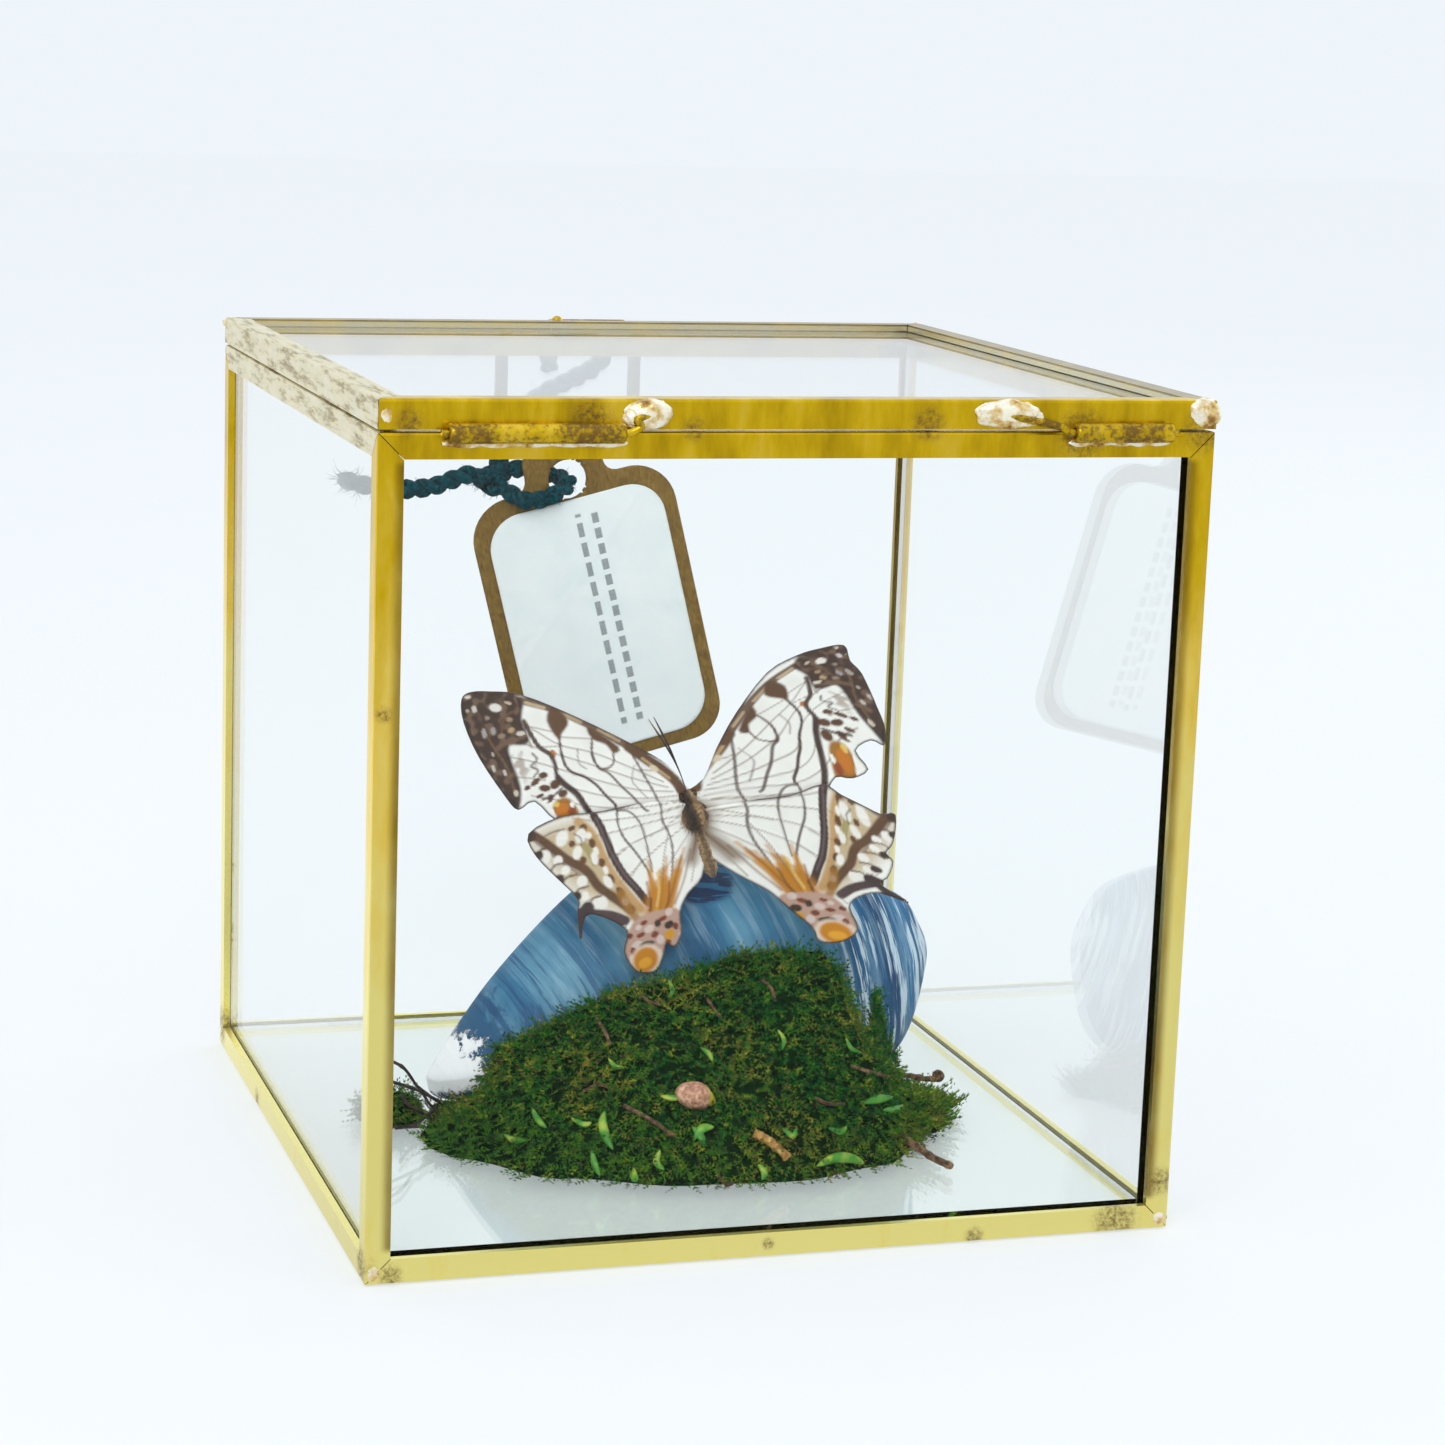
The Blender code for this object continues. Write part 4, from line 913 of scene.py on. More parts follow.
    # brown and orange flecks at the foot of the wing
    art.spots(rgb(94, 58, 32), (18.4, 11.9, 0.8, 0.45, -20), (17.2, 12.3, 0.7, 0.5, 20),
              (19.6, 11.6, 0.5, 0.35, 0), (17.5, 10.6, 0.9, 0.5, 30), (16.1, 10.5, 0.8, 0.7, 0),
              (17.3, 9.0, 0.7, 0.5, -30), (15.5, 8.9, 0.7, 0.6, 10), (18.4, 9.9, 0.6, 0.3, 0),
              (16.9, 6.0, 0.5, 0.7, 20))
    art.patch(OCHRE, (14.6, 7.4), (15.6, 8.4), (17.0, 8.2), (17.4, 7.0), (16.4, 5.4), (15.0, 4.6),
              (14.3, 5.6), strength=0.9)
    art.spot(ORANGE, 16.2, 7.0, 0.95)
    art.spot(rgb(238, 196, 96), 16.7, 7.9, 0.4)
    art.spot(rgb(150, 66, 20), 15.1, 6.2, 0.6)
    art.spot(ORANGE, 15.6, 5.2, 0.5)
    art.spots(CREAM, (18.7, 11.0, 0.4, 0.3), (16.8, 11.4, 0.35, 0.3), (16.6, 9.7, 0.4, 0.35),
              (18.0, 8.9, 0.5, 0.3), (14.8, 7.0, 0.3, 0.5), (17.6, 7.2, 0.4, 0.5))
    art.line(DARK, 0.8, (15.5, 11.2), (14.9, 9.9), (13.8, 8.0), (13.3, 6.0), (12.9, 4.6), (12.6, 3.4),
             strength=0.9, soft=0.2)
    art.line(DARK, 0.35, (15.5, 9.6), (16.6, 9.2), (18.2, 9.3), strength=0.85)


# %% Wing pattern, hindwing
def paint_hindwing(art):
    """The double dark band, brown and orange rays, eye spots and the tail."""
    art.patch(rgb(206, 184, 146), (12.8, 4.8), (21.5, 6.6), (21.8, 2.5), (18.0, -5.6), (12.0, -12.0),
              (9.0, -10.0), (11.6, -4.0), strength=0.12)
    art.line(rgb(196, 140, 48), 1.1, (15.0, 4.8), (14.0, 3.0), (13.5, 1.0), (13.3, -1.0), (13.0, -3.0),
             (12.5, -5.0), (11.5, -8.0), (10.8, -10.0), strength=0.75, soft=0.4)
    art.spots(rgb(104, 64, 26), (14.6, 3.6, 0.6, 0.7, 20), (14.1, 1.2, 0.5, 0.8, 0),
              (13.7, -1.8, 0.5, 0.7, 0), (13.2, -4.4, 0.5, 0.9, -15), (16.0, 4.3, 0.6, 0.4, 0),
              (15.9, -0.4, 0.5, 0.6, 0), (12.6, -6.6, 0.5, 0.9, -20), (16.6, 2.3, 0.5, 0.5, 30))
    art.line(rgb(150, 138, 58), 0.8, (15.6, 2.4), (14.9, 0.6), (14.6, -1.4), strength=0.6)
    art.line(DARK, 1.0, (12.8, 4.6), (12.4, 3.0), (12.2, 1.0), (12.1, -1.0), (11.8, -3.0), (11.3, -5.0),
             (10.5, -7.0), (9.6, -9.6))
    art.line(VIOLET, 0.32, (12.6, 4.2), (12.3, 1.0), (12.1, -1.2), (11.3, -4.8), (10.3, -7.4), strength=0.8)
    art.line(UMBER, 1.2, (21.4, 6.2), (20.0, 4.2), (19.0, 2.5), (17.8, 0.5), (16.5, -1.0), (15.7, -2.5),
             (15.0, -4.8), (13.2, -7.6), (12.0, -9.6), soft=0.3)
    art.line(rgb(150, 138, 132), 0.34, (20.9, 4.6), (19.8, 2.6), (18.6, 0.6), (17.4, -1.2), (16.4, -3.0),
             strength=0.9)
    for u, v, across, up, tilt in (
            (15.2, 2.8, 0.7, 1.0, 30), (14.4, -0.8, 0.45, 0.9, 5), (13.7, -4.6, 0.5, 1.0, -15),
            (16.9, -3.0, 0.7, 0.8, 0), (15.4, -6.8, 0.8, 1.05, -25), (17.1, -5.0, 0.5, 0.6, 0),
            (17.6, 3.6, 0.8, 1.1, 35), (16.3, 0.9, 0.6, 0.9, 30), (18.5, -0.6, 0.6, 0.6, 0),
            (20.4, 2.2, 0.7, 0.9, 20), (19.0, 1.0, 0.6, 0.7, 20), (13.9, 0.0, 0.35, 0.6, 0),
            (13.5, -3.0, 0.35, 0.6, 0), (14.2, 2.4, 0.35, 0.5, 0), (12.4, -8.2, 0.35, 0.6, -20),
            (16.4, -6.4, 0.6, 0.6, 0)):
        art.spot(rgb(248, 244, 236), u, v, across * 1.2, up * 1.15, tilt)
    for u, v, reach in (
            (20.6, 3.4, 1.1), (19.6, 0.6, 1.2), (18.6, -1.6, 1.3), (17.6, -3.8, 1.2), (16.2, -5.8, 1.1)):
        art.line(UMBER, 0.3, (u - reach, v - 0.2), (u, v), (u + reach * 0.6, v - 0.5), strength=0.85)
    art.line(LINE, 0.25, (15.9, 3.4), (15.3, 2.5), (15.5, 1.6), strength=0.6)
    art.line(LINE, 0.28, (17.0, 4.6), (18.4, 4.9), (19.6, 4.9), strength=0.7)
    for u, v in ((21.4, 5.6), (21.2, 2.8), (19.6, -1.4), (18.2, -4.6)):
        art.spot(DARK, u, v, 0.75)
    # the tail
    art.line(rgb(78, 58, 62), 1.3, (13.2, -10.6), (14.6, -9.2), (16.2, -8.2), (17.6, -7.4), soft=0.25)
    art.line(rgb(62, 46, 50), 1.9, (17.4, -6.8), (18.4, -7.6), (19.2, -9.6), (19.8, -11.2), soft=0.2)
    # orange rays towards the inner corner
    for top, foot, width in (
            ((2.8, -4.9), (7.0, -11.4), 1.0), ((5.4, -5.0), (8.0, -11.6), 0.9),
            ((7.8, -4.4), (9.0, -11.8), 1.0), ((4.2, -6.0), (7.6, -11.8), 0.8),
            ((6.6, -6.2), (8.4, -11.6), 0.8)):
        ends = np.array((top, foot))
        for begin, share in ((0.0, 0.3), (0.2, 0.6), (0.4, 1.0)):
            start = ends[0] + (ends[1] - ends[0]) * begin
            art.line(rgb(208, 138, 14), width * share, start, ends[1], strength=0.85, soft=0.5)
    art.patch(rgb(200, 128, 10), (5.4, -8.6), (8.0, -7.6), (10.0, -9.6), (10.6, -12.2), (7.4, -12.8),
              strength=0.9, soft=1.2)
    for ray in (((3.4, -5.6), (5.6, -9.0), (8.0, -12.2)), ((6.2, -6.0), (7.4, -9.0), (8.8, -12.0)),
                ((8.9, -7.0), (9.2, -9.6), (9.8, -12.0)), ((2.0, -5.4), (4.0, -8.8), (6.2, -11.4))):
        art.line(rgb(132, 78, 22), 0.24, *ray, strength=0.75, soft=0.25)
    art.line(OCHRE, 1.1, (12.6, -6.8), (12.2, -9.4), (11.2, -12.2), strength=0.85, soft=0.5)
    art.line(rgb(222, 160, 40), 0.5, (6.8, -6.4), (7.6, -8.8), (8.8, -11.2), strength=0.8, soft=0.3)
    art.line(DARK, 0.3, (9.0, -9.4), (9.8, -11.2), (10.2, -13.0), strength=0.7)
    art.line(DARK, 0.26, (6.0, -8.2), (6.9, -10.6), (8.4, -12.4), strength=0.6)
    art.line(rgb(228, 200, 128), 0.3, (7.2, -6.4), (7.7, -8.8), (8.6, -10.6), strength=0.7)


def paint_lobes(art):
    """Eye-like spots at the foot of the hindwing."""
    art.patch(rgb(198, 160, 142), (7.0, -11.8), (9.6, -11.0), (12.4, -11.4), (14.2, -13.8), (14.8, -16.8),
              (13.6, -19.0), (10.8, -19.6), (9.0, -16.6), (7.0, -17.6), (5.6, -14.8), (6.0, -12.4),
              strength=0.9)
    art.spots(PINK, (10.5, -13.1, 0.75, 0.6), (7.3, -12.1, 0.6, 0.6), (9.5, -15.2, 0.6, 0.75),
              (12.7, -14.4, 0.85, 0.5), (13.9, -16.2, 0.45, 0.9), (10.2, -17.6, 0.4, 0.7),
              (6.6, -15.9, 0.5, 0.5), (11.8, -12.3, 0.5, 0.4))
    art.line(PINK, 0.5, (10.0, -16.6), (10.4, -18.2), (12.0, -18.8), (13.6, -18.0), (14.2, -16.2),
             strength=0.85)
    art.line(PINK, 0.4, (2.0, -9.9), (4.5, -11.3), (5.7, -13.2), (6.3, -15.4), (7.6, -16.8), strength=0.7)
    art.spot(DARK, 11.4, -15.0, 1.2, 0.5, 10)
    art.spots(rgb(130, 58, 34), (8.4, -12.6, 0.7, 0.4), (10.0, -14.2, 0.6, 0.5), (11.8, -13.4, 0.7, 0.35),
              (8.6, -16.0, 0.4, 0.5), (13.4, -15.0, 0.4, 0.6), (7.0, -14.4, 0.4, 0.6),
              (10.9, -12.0, 0.6, 0.3))
    art.spot(rgb(246, 226, 206), 12.1, -16.9, 2.35)
    art.spot(rgb(214, 136, 14), 12.2, -16.9, 1.95)
    art.spot(rgb(240, 172, 40), 12.4, -17.3, 1.1, 0.8)
    art.spot(DARK, 7.8, -13.8, 0.75, 0.6)
    art.spot(AMBER, 8.1, -15.1, 0.8)
    art.spot(DARK, 9.2, -12.9, 0.5, 0.6)
    art.spot(rgb(120, 50, 20), 13.2, -12.9, 0.5, 0.4)


# %% Landmarks of the right wings
LANDMARKS = (
    # right wing, left wing
    ((0.0, 0.0), (0.0, 0.0)), ((-0.2, -5.8), (-0.2, -5.5)), ((7.7, 8.8), (5.4, 10.7)),
    ((11.4, 12.2), (9.6, 15.8)), ((15.0, 15.0), (13.3, 19.9)), ((18.9, 16.4), (17.0, 22.4)),
    ((25.6, 18.2), (24.2, 26.3)), ((27.0, 4.3), (21.6, 9.8)), ((17.9, 0.3), (12.7, 4.5)),
    ((25.5, -5.5), (21.5, 6.0)), ((12.8, -13.5), (9.6, -9.8)), ((21.4, -14.6), (18.2, -7.0)),
    ((24.9, -18.6), (19.7, -11.0)), ((13.7, -20.8), (12.2, -16.8)), ((7.0, 3.0), (4.2, 4.0)),
    ((12.4, 5.7), (8.5, 8.0)), ((16.4, 5.5), (11.8, 9.2)), ((18.8, 7.5), (14.6, 9.5)),
)


def bend_between(pairs):
    """Thin-plate spline: a smooth map that carries the first point of each pair onto the second."""
    source, target = (np.array(side, float) for side in zip(*pairs))

    def kernel(points):
        far = np.linalg.norm(points[:, None] - source[None], axis=2)
        return far ** 2 * np.log(np.maximum(far, 1e-6))

    flat = np.hstack((np.ones((len(source), 1)), source))
    system = np.block([[kernel(source) + 0.5 * np.eye(len(source)), flat], [flat.T, np.zeros((3, 3))]])
    weights = np.linalg.solve(system, np.vstack((target, np.zeros((3, 2)))))
    return lambda points: np.hstack((kernel(points), np.ones((len(points), 1)), points)) @ weights


right_to_left = bend_between(LANDMARKS)
on_right, on_left = (np.array(side) for side in zip(*LANDMARKS))
print("landmark error in mm:", round(float(np.abs(right_to_left(on_right) - on_left).max()), 2))

# %% Make the wings
WING_CELL = 0.2
WING_THICKNESS = 0.14


def wing(name, outline, sign, lift, offset, warp=None):
    """Cut, paint and place one wing."""
    line = smooth_line(outline, 3, closed=True)
    bm = cut_sheet(line, WING_CELL)
    spots = np.array([v.co.xy for v in bm.verts])
    drawn = warp(spots) if warp else spots
    art = Painting(drawn, CREAM)
    paint_windows(art)
    if "fore" in name:
        paint_forewing(art)
    else:
        paint_hindwing(art)
        paint_lobes(art)
    rim = to_line(spots, line, True)[0]
    outer = np.clip((np.hypot(*spots.T) - 6.0) / 4.0, 0, 1)
    art.lay((1 - rim / 0.34) * 1.3 * outer, DARK)
    ridge = np.full(len(drawn), 9.0)
    for vein in VEINS:
        ridge = np.minimum(ridge, to_line(drawn, path_through(vein, 3))[0])
    relief = 0.07 * np.clip(1 - ridge / 0.25, 0, 1) + 0.16 * grain(spots, 0.16, sign * 5 + 2)
    for v, height in zip(bm.verts, relief):
        v.co.z = height
    bmesh.ops.transform(bm, matrix=wing_place(sign, lift, offset), verts=bm.verts)
    obj = put(bm, name, "case", "butterfly", wing_scales, smooth=180, closed=False)
    layer = obj.data.color_attributes.new("pattern", "FLOAT_COLOR", "POINT")
    layer.data.foreach_set("color", np.hstack((art.colour, np.ones((len(drawn), 1)))).astype("f").ravel())
    thicken(obj, "Sheet", WING_THICKNESS)
    return obj


def scales(at):
    pattern = at.node("VertexColor", {"layer_name": "pattern"})
    dust = at.noise(6.0, 2.0)
    soft = at.noise(1.1, 3.0)
    return {
        "Base Color": (dust * 0.1 + soft * 0.05).mix(pattern, rgb(120, 100, 84)),
        "Roughness": dust * 0.3 + 0.45,
        "Height": dust * 0.03,
    }


wing_scales = finish_of("wing_scales", scales, Sheen_Weight=0.15)
wings = [
    wing("wing_fore_left", FORE_LEFT, -1, 8.0, 0.0),
    wing("wing_hind_left", HIND_LEFT, -1, 8.0, 0.5),
    wing("wing_fore_right", FORE_RIGHT, 1, 30.0, 0.0, right_to_left),
    wing("wing_hind_right", HIND_RIGHT, 1, 30.0, 0.5, right_to_left),
]
print("wings:", [w.name for w in wings])

# %% [markdown]
# ## The butterfly's body
#
# Head, thorax and abdomen are one turned form: a profile drawn from the tail to the head and spun round
# the body's axis.  Short hairs stand on it, most of them on the thorax, two thin feelers with small clubs
# point up, and four legs reach down to the edge of the shell.

# %% Body
BODY_LENGTH = (HEAD - TAIL).length
GIRTH = (
    # share of the length from the tail, radius
    (0.0, 0.02), (0.015, 0.34), (0.05, 0.62), (0.12, 0.92), (0.2, 1.06), (0.3, 1.14), (0.4, 1.1),
    (0.48, 1.02), (0.55, 1.05), (0.59, 1.4), (0.64, 1.8), (0.7, 2.05), (0.76, 2.05), (0.82, 1.7),
    (0.87, 1.1), (0.895, 0.92), (0.925, 1.08), (0.955, 1.05), (0.985, 0.66), (1.0, 0.02),
)
body_frame = Matrix((body_side, body_face, body_axis)).transposed().to_4x4()
body_frame.translation = TAIL
dice = random.Random(5)


def spun(bm, profile, steps, smooth_steps):
    """Turn a profile of (height, radius) points round the Z axis and close it."""
    line = smooth_line(profile, smooth_steps)
    chain = [bm.verts.new((max(r, 0.0), 0, h)) for h, r in line]
    edges = [bm.edges.new(pair) for pair in zip(chain, chain[1:])]
    bmesh.ops.spin(bm, geom=chain + edges, axis=(0, 0, 1), cent=(0, 0, 0), dvec=(0, 0, 0),
                   angle=2 * math.pi, steps=steps, use_merge=True)
    bmesh.ops.remove_doubles(bm, verts=bm.verts, dist=0.03)


bm = bmesh.new()
spun(bm, [(share * BODY_LENGTH, r) for share, r in GIRTH], 32, 4)
for v in bm.verts:
    share = v.co.z / BODY_LENGTH
    if share < 0.56:
        v.co.xy *= 1 + 0.05 * math.sin(share * 2 * math.pi / 0.075)
    v.co += v.co.normalized() * 0.08 * noise.noise(v.co * 1.7)
for side in (-1, 1):
    eye = Matrix.Translation((side * 0.86, 0.35, 0.95 * BODY_LENGTH)) @ Matrix.Diagonal((0.7, 1.0, 1.15, 1))
    ball = bmesh.ops.create_uvsphere(bm, u_segments=16, v_segments=10, radius=0.52, matrix=eye)
    for v in ball["verts"]:
        for f in v.link_faces:
            f.material_index = 1


def feeler(points, radii):
    """A thin rod whose points are given in the body's own frame."""
    line = smooth_line(points, 5)
    rod(bm, line, np.interp(np.linspace(0, 1, len(line)), np.linspace(0, 1, len(radii)), radii), 6)


for lean in (-1.0, -0.6):
    base = BODY_LENGTH - 0.5
    feeler([(lean * 0.1, 0.3, base), (lean * 0.1, 0.35, base + 2.6), (lean * 0.6, 0.2, base + 6.5),
            (lean * 1.8, 0.0, base + 11.4)], (0.07, 0.055, 0.055, 0.065, 0.13, 0.15, 0.05))
print("body, eyes and feelers:", len(bm.faces), "faces")

# %% Hairs and legs
HAIRS = 1300
WAIST = 0.55  # share of the length where the abdomen ends
for i in range(HAIRS):
    share = dice.uniform(WAIST, 0.985) if i % 4 else dice.uniform(0.08, WAIST)
    turn = dice.uniform(0, 2 * math.pi)
    radius = np.interp(share, *zip(*GIRTH)) * 0.97
    foot = Vector((math.cos(turn) * radius, math.sin(turn) * radius, share * BODY_LENGTH))
    way = Vector((math.cos(turn), math.sin(turn), dice.uniform(-1.6, -0.4)))
    way += Vector((dice.uniform(-0.3, 0.3), dice.uniform(-0.3, 0.3), 0))
    long = dice.uniform(0.5, 1.25) if share > WAIST else dice.uniform(0.25, 0.5)
    turn_to = STRAIGHT_UP.rotation_difference(way).to_matrix().to_4x4()
    bmesh.ops.create_cone(bm, cap_ends=True, segments=3, radius1=0.045, radius2=0.0, depth=long,
                          matrix=Matrix.Translation(foot + way.normalized() * long * 0.45) @ turn_to)
bmesh.ops.transform(bm, matrix=body_frame, verts=bm.verts)

chest = wing_root - body_axis * 1.6
for i, (foot_x, hip) in enumerate(((-3.0, 0.4), (0.6, -0.6), (6.4, -1.4), (10.4, -0.4))):
    rim_z = max(z for x, z in shell_line if abs(x - foot_x) < 4)
    foot = Vector((foot_x, margin_y(foot_x) + 0.4, rim_z + 0.45))
    start = chest + body_axis * hip
    knee = Vector(((start.x + foot.x) / 2, -0.5, 42.5 + i % 2))
    line = smooth_line([start, knee, foot], 6)
    radii = np.interp(np.linspace(0, 1, len(line)), (0, 0.45, 0.55, 1), (0.26, 0.17, 0.2, 0.1))
    rod(bm, line, radii, 6)


def fur(at):
    along = (at.dot(body_axis) - TAIL.dot(body_axis)) / BODY_LENGTH
    across = at.dot(body_side) - TAIL.dot(body_side)
    fleck = at.noise(2.6, 3.0, 0.7)
    turn = across * 2.4
    stripes = turn.sum("SINE", turn)
    thorax = (fleck * 0.6 + stripes * 0.16 + 0.16).ramp(
        (0.32, rgb(40, 28, 20)), (0.5, rgb(88, 64, 42)), (0.68, rgb(182, 150, 106)))
    tail = fleck.ramp((0.35, rgb(96, 74, 56)), (0.5, rgb(148, 120, 86)), (0.65, rgb(190, 158, 110)))
    ridge = across.absolute().step(0.42, 0.16) * 0.6
    tail = ridge.mix(tail, rgb(72, 52, 40))
    return {
        "Base Color": along.step(0.52, 0.62).mix(tail, thorax),
        "Roughness": fleck * 0.2 + 0.6,
        "Height": fleck * 0.08,
    }


body_fur = finish_of("body_fur", fur, Sheen_Weight=0.2)
eye_gloss = speckled("eye_gloss", (3.0,), (0.4, rgb(24, 14, 10)), (0.6, rgb(66, 40, 26)), Roughness=0.18)
put(bm, "butterfly_body", "case", "butterfly", body_fur, eye_gloss, stands_for=["butterfly"], smooth=60)

# %% [markdown]
# ## Moss
#
# The moss is a dried clump: dark between its stems, with thousands of small feathery shoots.  One way is a
# displaced lump with a green bump map, but its edge would stay smooth.  Here each shoot is a real little
# feather of thin cones, turned and sized by seeded dice and set on the faces of the CAD mound, over a dark
# lumpy core made from that same mound.  The mound's upper edge follows a line of points read off the photo,
# and a pointed tuft stands at its right end.


# %% Moss helpers
def cad_form(name):
    """A merged copy of a CAD node, in millimetres."""
    bm = bmesh.new()
    bm.from_mesh(nodes[name].data)
    bmesh.ops.remove_doubles(bm, verts=bm.verts, dist=1e-6)
    bmesh.ops.scale(bm, vec=(1 / MM, 1 / MM, 1 / MM), verts=bm.verts)
    bmesh.ops.recalc_face_normals(bm, faces=bm.faces)
    return bm


def feather(long, pairs, spread, bend):
    """One shoot along +X, lying in the XY plane: a stem with leaflets on both sides."""
    bm = bmesh.new()
    lay_down = Matrix.Rotation(math.pi / 2, 4, "Y")
    bmesh.ops.create_cone(bm, cap_ends=False, segments=3, radius1=0.09, radius2=0.0, depth=long,
                          matrix=Matrix.Translation((long / 2, 0, 0)) @ lay_down)
    for i in range(pairs):
        share = (i + 0.6) / pairs
        leaf = spread * (1 - 0.55 * share)
        for side in (-1, 1):
            way = Matrix.Rotation(side * math.radians(58 - 26 * share), 4, "Z")
            tilt = Matrix.Rotation(-0.35, 4, "Y")
            bmesh.ops.create_cone(bm, cap_ends=False, segments=3, radius1=0.15, radius2=0.0, depth=leaf,
                                  matrix=Matrix.Translation((share * long, 0, 0)) @ way @ tilt
                                  @ Matrix.Translation((leaf / 2, 0, 0)) @ lay_down)
    for v in bm.verts:
        v.co.z += bend * v.co.x ** 2 / long
    mesh = bpy.data.meshes.new("shoot")
    bm.to_mesh(mesh)
    bm.free()
    return mesh


def scatter(form, count, dice, keep):
    """Random places on those of a form's faces that pass keep, with the face's normal."""
    chosen = [f for f in bmesh.ops.triangulate(form, faces=form.faces)["faces"] if keep(f)]
    areas = np.cumsum([f.calc_area() for f in chosen])
    places = []
    for _ in range(count):
        face = chosen[int(np.searchsorted(areas, dice.uniform(0, areas[-1])))]
        a, b = dice.random(), dice.random()
        if a + b > 1:
            a, b = 1 - a, 1 - b
        p, q, r = (v.co for v in face.verts)
        places.append((p + (q - p) * a + (r - p) * b, face.normal.copy()))
    return places


def stand(place, normal, way, pitch, size):
    """Matrix for a shoot on a face: way is its heading, pitch how far its tip is raised."""
    along = (way - normal * way.dot(normal)).normalized()
    along = along * math.cos(pitch) + normal * math.sin(pitch)
    across = normal.cross(along).normalized()
    matrix = Matrix((along, across, along.cross(across))).transposed().to_4x4()
    matrix.translation = place
    return matrix @ Matrix.Scale(size, 4)


def add_shoot(bm, shoot, matrix):
    """Add a copy of a shoot, set in its place by the matrix."""
    mesh = shoot.copy()
    mesh.transform(matrix)
    bm.from_mesh(mesh)
    bpy.data.meshes.remove(mesh)


def plant(bm, places, dice, pitch=(0.15, 0.9), size=(0.6, 1.2), downhill=0.6):
    """Add a shoot at each place, most of them heading down the slope."""
    for place, normal in places:
        way = Vector((dice.uniform(-1, 1), dice.uniform(-1, 1), dice.uniform(-1, 1) - downhill))
        add_shoot(bm, dice.choice(shoots),
                  stand(place - normal * 0.25, normal, way, dice.uniform(*pitch), dice.uniform(*size)))


FLOOR_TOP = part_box("pane_bottom")[1].z / MM
shoots = [feather(3.0, 4, 1.1, 0.15), feather(2.4, 4, 0.9, -0.1), feather(3.4, 4, 0.8, 0.3)]
print("shoots:", [len(s.polygons) for s in shoots], "faces each; floor pane's top at", round(FLOOR_TOP, 2))

# %% Moss finish


def moss_recipe(at):
    patch = at.noise(0.09, 3.0, 0.6)
    shoot = at.noise(0.75, 2.0, 0.6)
    fleck = at.noise(2.4, 2.0, 0.5)
    green = (shoot * 0.75 + patch * 0.35 - 0.06).ramp(
        (0.30, rgb(0, 52, 28)), (0.44, rgb(4, 84, 32)), (0.55, rgb(50, 116, 22)), (0.68, rgb(172, 168, 60)))
    foot = at.part("Z").step(12.0, 4.5) * (shoot * 1.5 - 0.35)
    green = (foot.clamped() * 0.45).mix(green, rgb(124, 160, 44))
    brown = (fleck * 0.7 + patch * 0.3).step(0.535, 0.6)
    return {
        "Base Color": (brown * 0.75).mix(green, rgb(126, 92, 52)),
        "Roughness": fleck * 0.3 + 0.55,
    }


moss_green = finish_of("moss_green", moss_recipe, Specular_IOR_Level=0.05)
# Painted shade: the core's near-black greens stand for the clump's dark inner stems and the shade between
# the shoots.
moss_core_shade = speckled(
    "moss_core_shade", (0.9, 3.0, 0.7), (0.35, rgb(2, 22, 8)), (0.6, rgb(12, 52, 16)), (0.7, rgb(50, 42, 20)),
    bumps=(1.4, 4.0, 0.7, 0.9), Roughness=0.9, Specular_IOR_Level=0.03)
print("moss finishes:", moss_green.name, moss_core_shade.name)

# %% Lines of sight
PHOTO_SIZE = 1445
PHOTO_MIDDLE = PHOTO_SIZE / 2
PIXEL = lens.sensor_width / lens.lens / PHOTO_SIZE  # one pixel's width, at a distance of 1
CAMERA_PLACE = camera.matrix_world.translation / MM


def sight(px, py):
    """Start and direction, in millimetres, of the line of sight through a pixel of the photo."""
    way = ahead + right * (px - PHOTO_MIDDLE) * PIXEL - up * (py - PHOTO_MIDDLE) * PIXEL
    return CAMERA_PLACE, way.normalized()


def at_depth(px, py, y):
    """Where the line of sight through a pixel crosses the upright plane at y."""
    start, way = sight(px, py)
    return start + way * ((y - start.y) / way.y)


# %% Where a line of sight meets the moss
moss_skin = cad_form("moss_mound")
moss_tree = BVHTree.FromBMesh(moss_skin)


def on_moss(px, py, above=0.3):
    """Where the line of sight meets the mound or passes closest, a little above it, and the normal there."""
    place, normal, _, _ = moss_tree.ray_cast(*sight(px, py))
    if place is None:
        place, normal, _, _ = moss_tree.find_nearest(at_depth(px, py, -10.0))
    return place + normal * above, normal


print("the pod's place:", tuple(round(c, 1) for c in on_moss(697, 1115)[0]))

# %% The moss's edge in the picture
MOSS_EDGE = (
    # pixels of the photo along the top of the mound, left to right
    (425, 1143), (440, 1120), (463, 1103), (488, 1074), (492, 1044), (539, 1024), (585, 999), (636, 982),
    (669, 974), (712, 959), (724, 951), (762, 945), (821, 944), (838, 966), (846, 1000), (859, 1032),
    (884, 1060), (905, 1084), (930, 1096), (941, 1108), (948, 1140),
)
PIXELS_PER_MM = 7.9


def above_edge(point):
    """How far, in millimetres, a point shows above the mound's edge in the picture."""
    ray = Vector(point) - CAMERA_PLACE
    reach = PIXEL * ray.dot(ahead)
    px = PHOTO_MIDDLE + ray.dot(right) / reach
    py = PHOTO_MIDDLE - ray.dot(up) / reach
    return (float(np.interp(px, *zip(*MOSS_EDGE))) - py) / PIXELS_PER_MM


print("edge test at the middle of the mound:", round(above_edge((5.0, -15.0, 20.0)), 1), "mm")

# %% Grow the moss
FERN_FOOT, FERN_TIP = (878, 1066), (875, 990)
MOSS_FOOT = 0.4  # up to this height the core keeps the CAD's form
CORE_DEPTH = 0.45  # above that height it lies this far below the CAD's surface


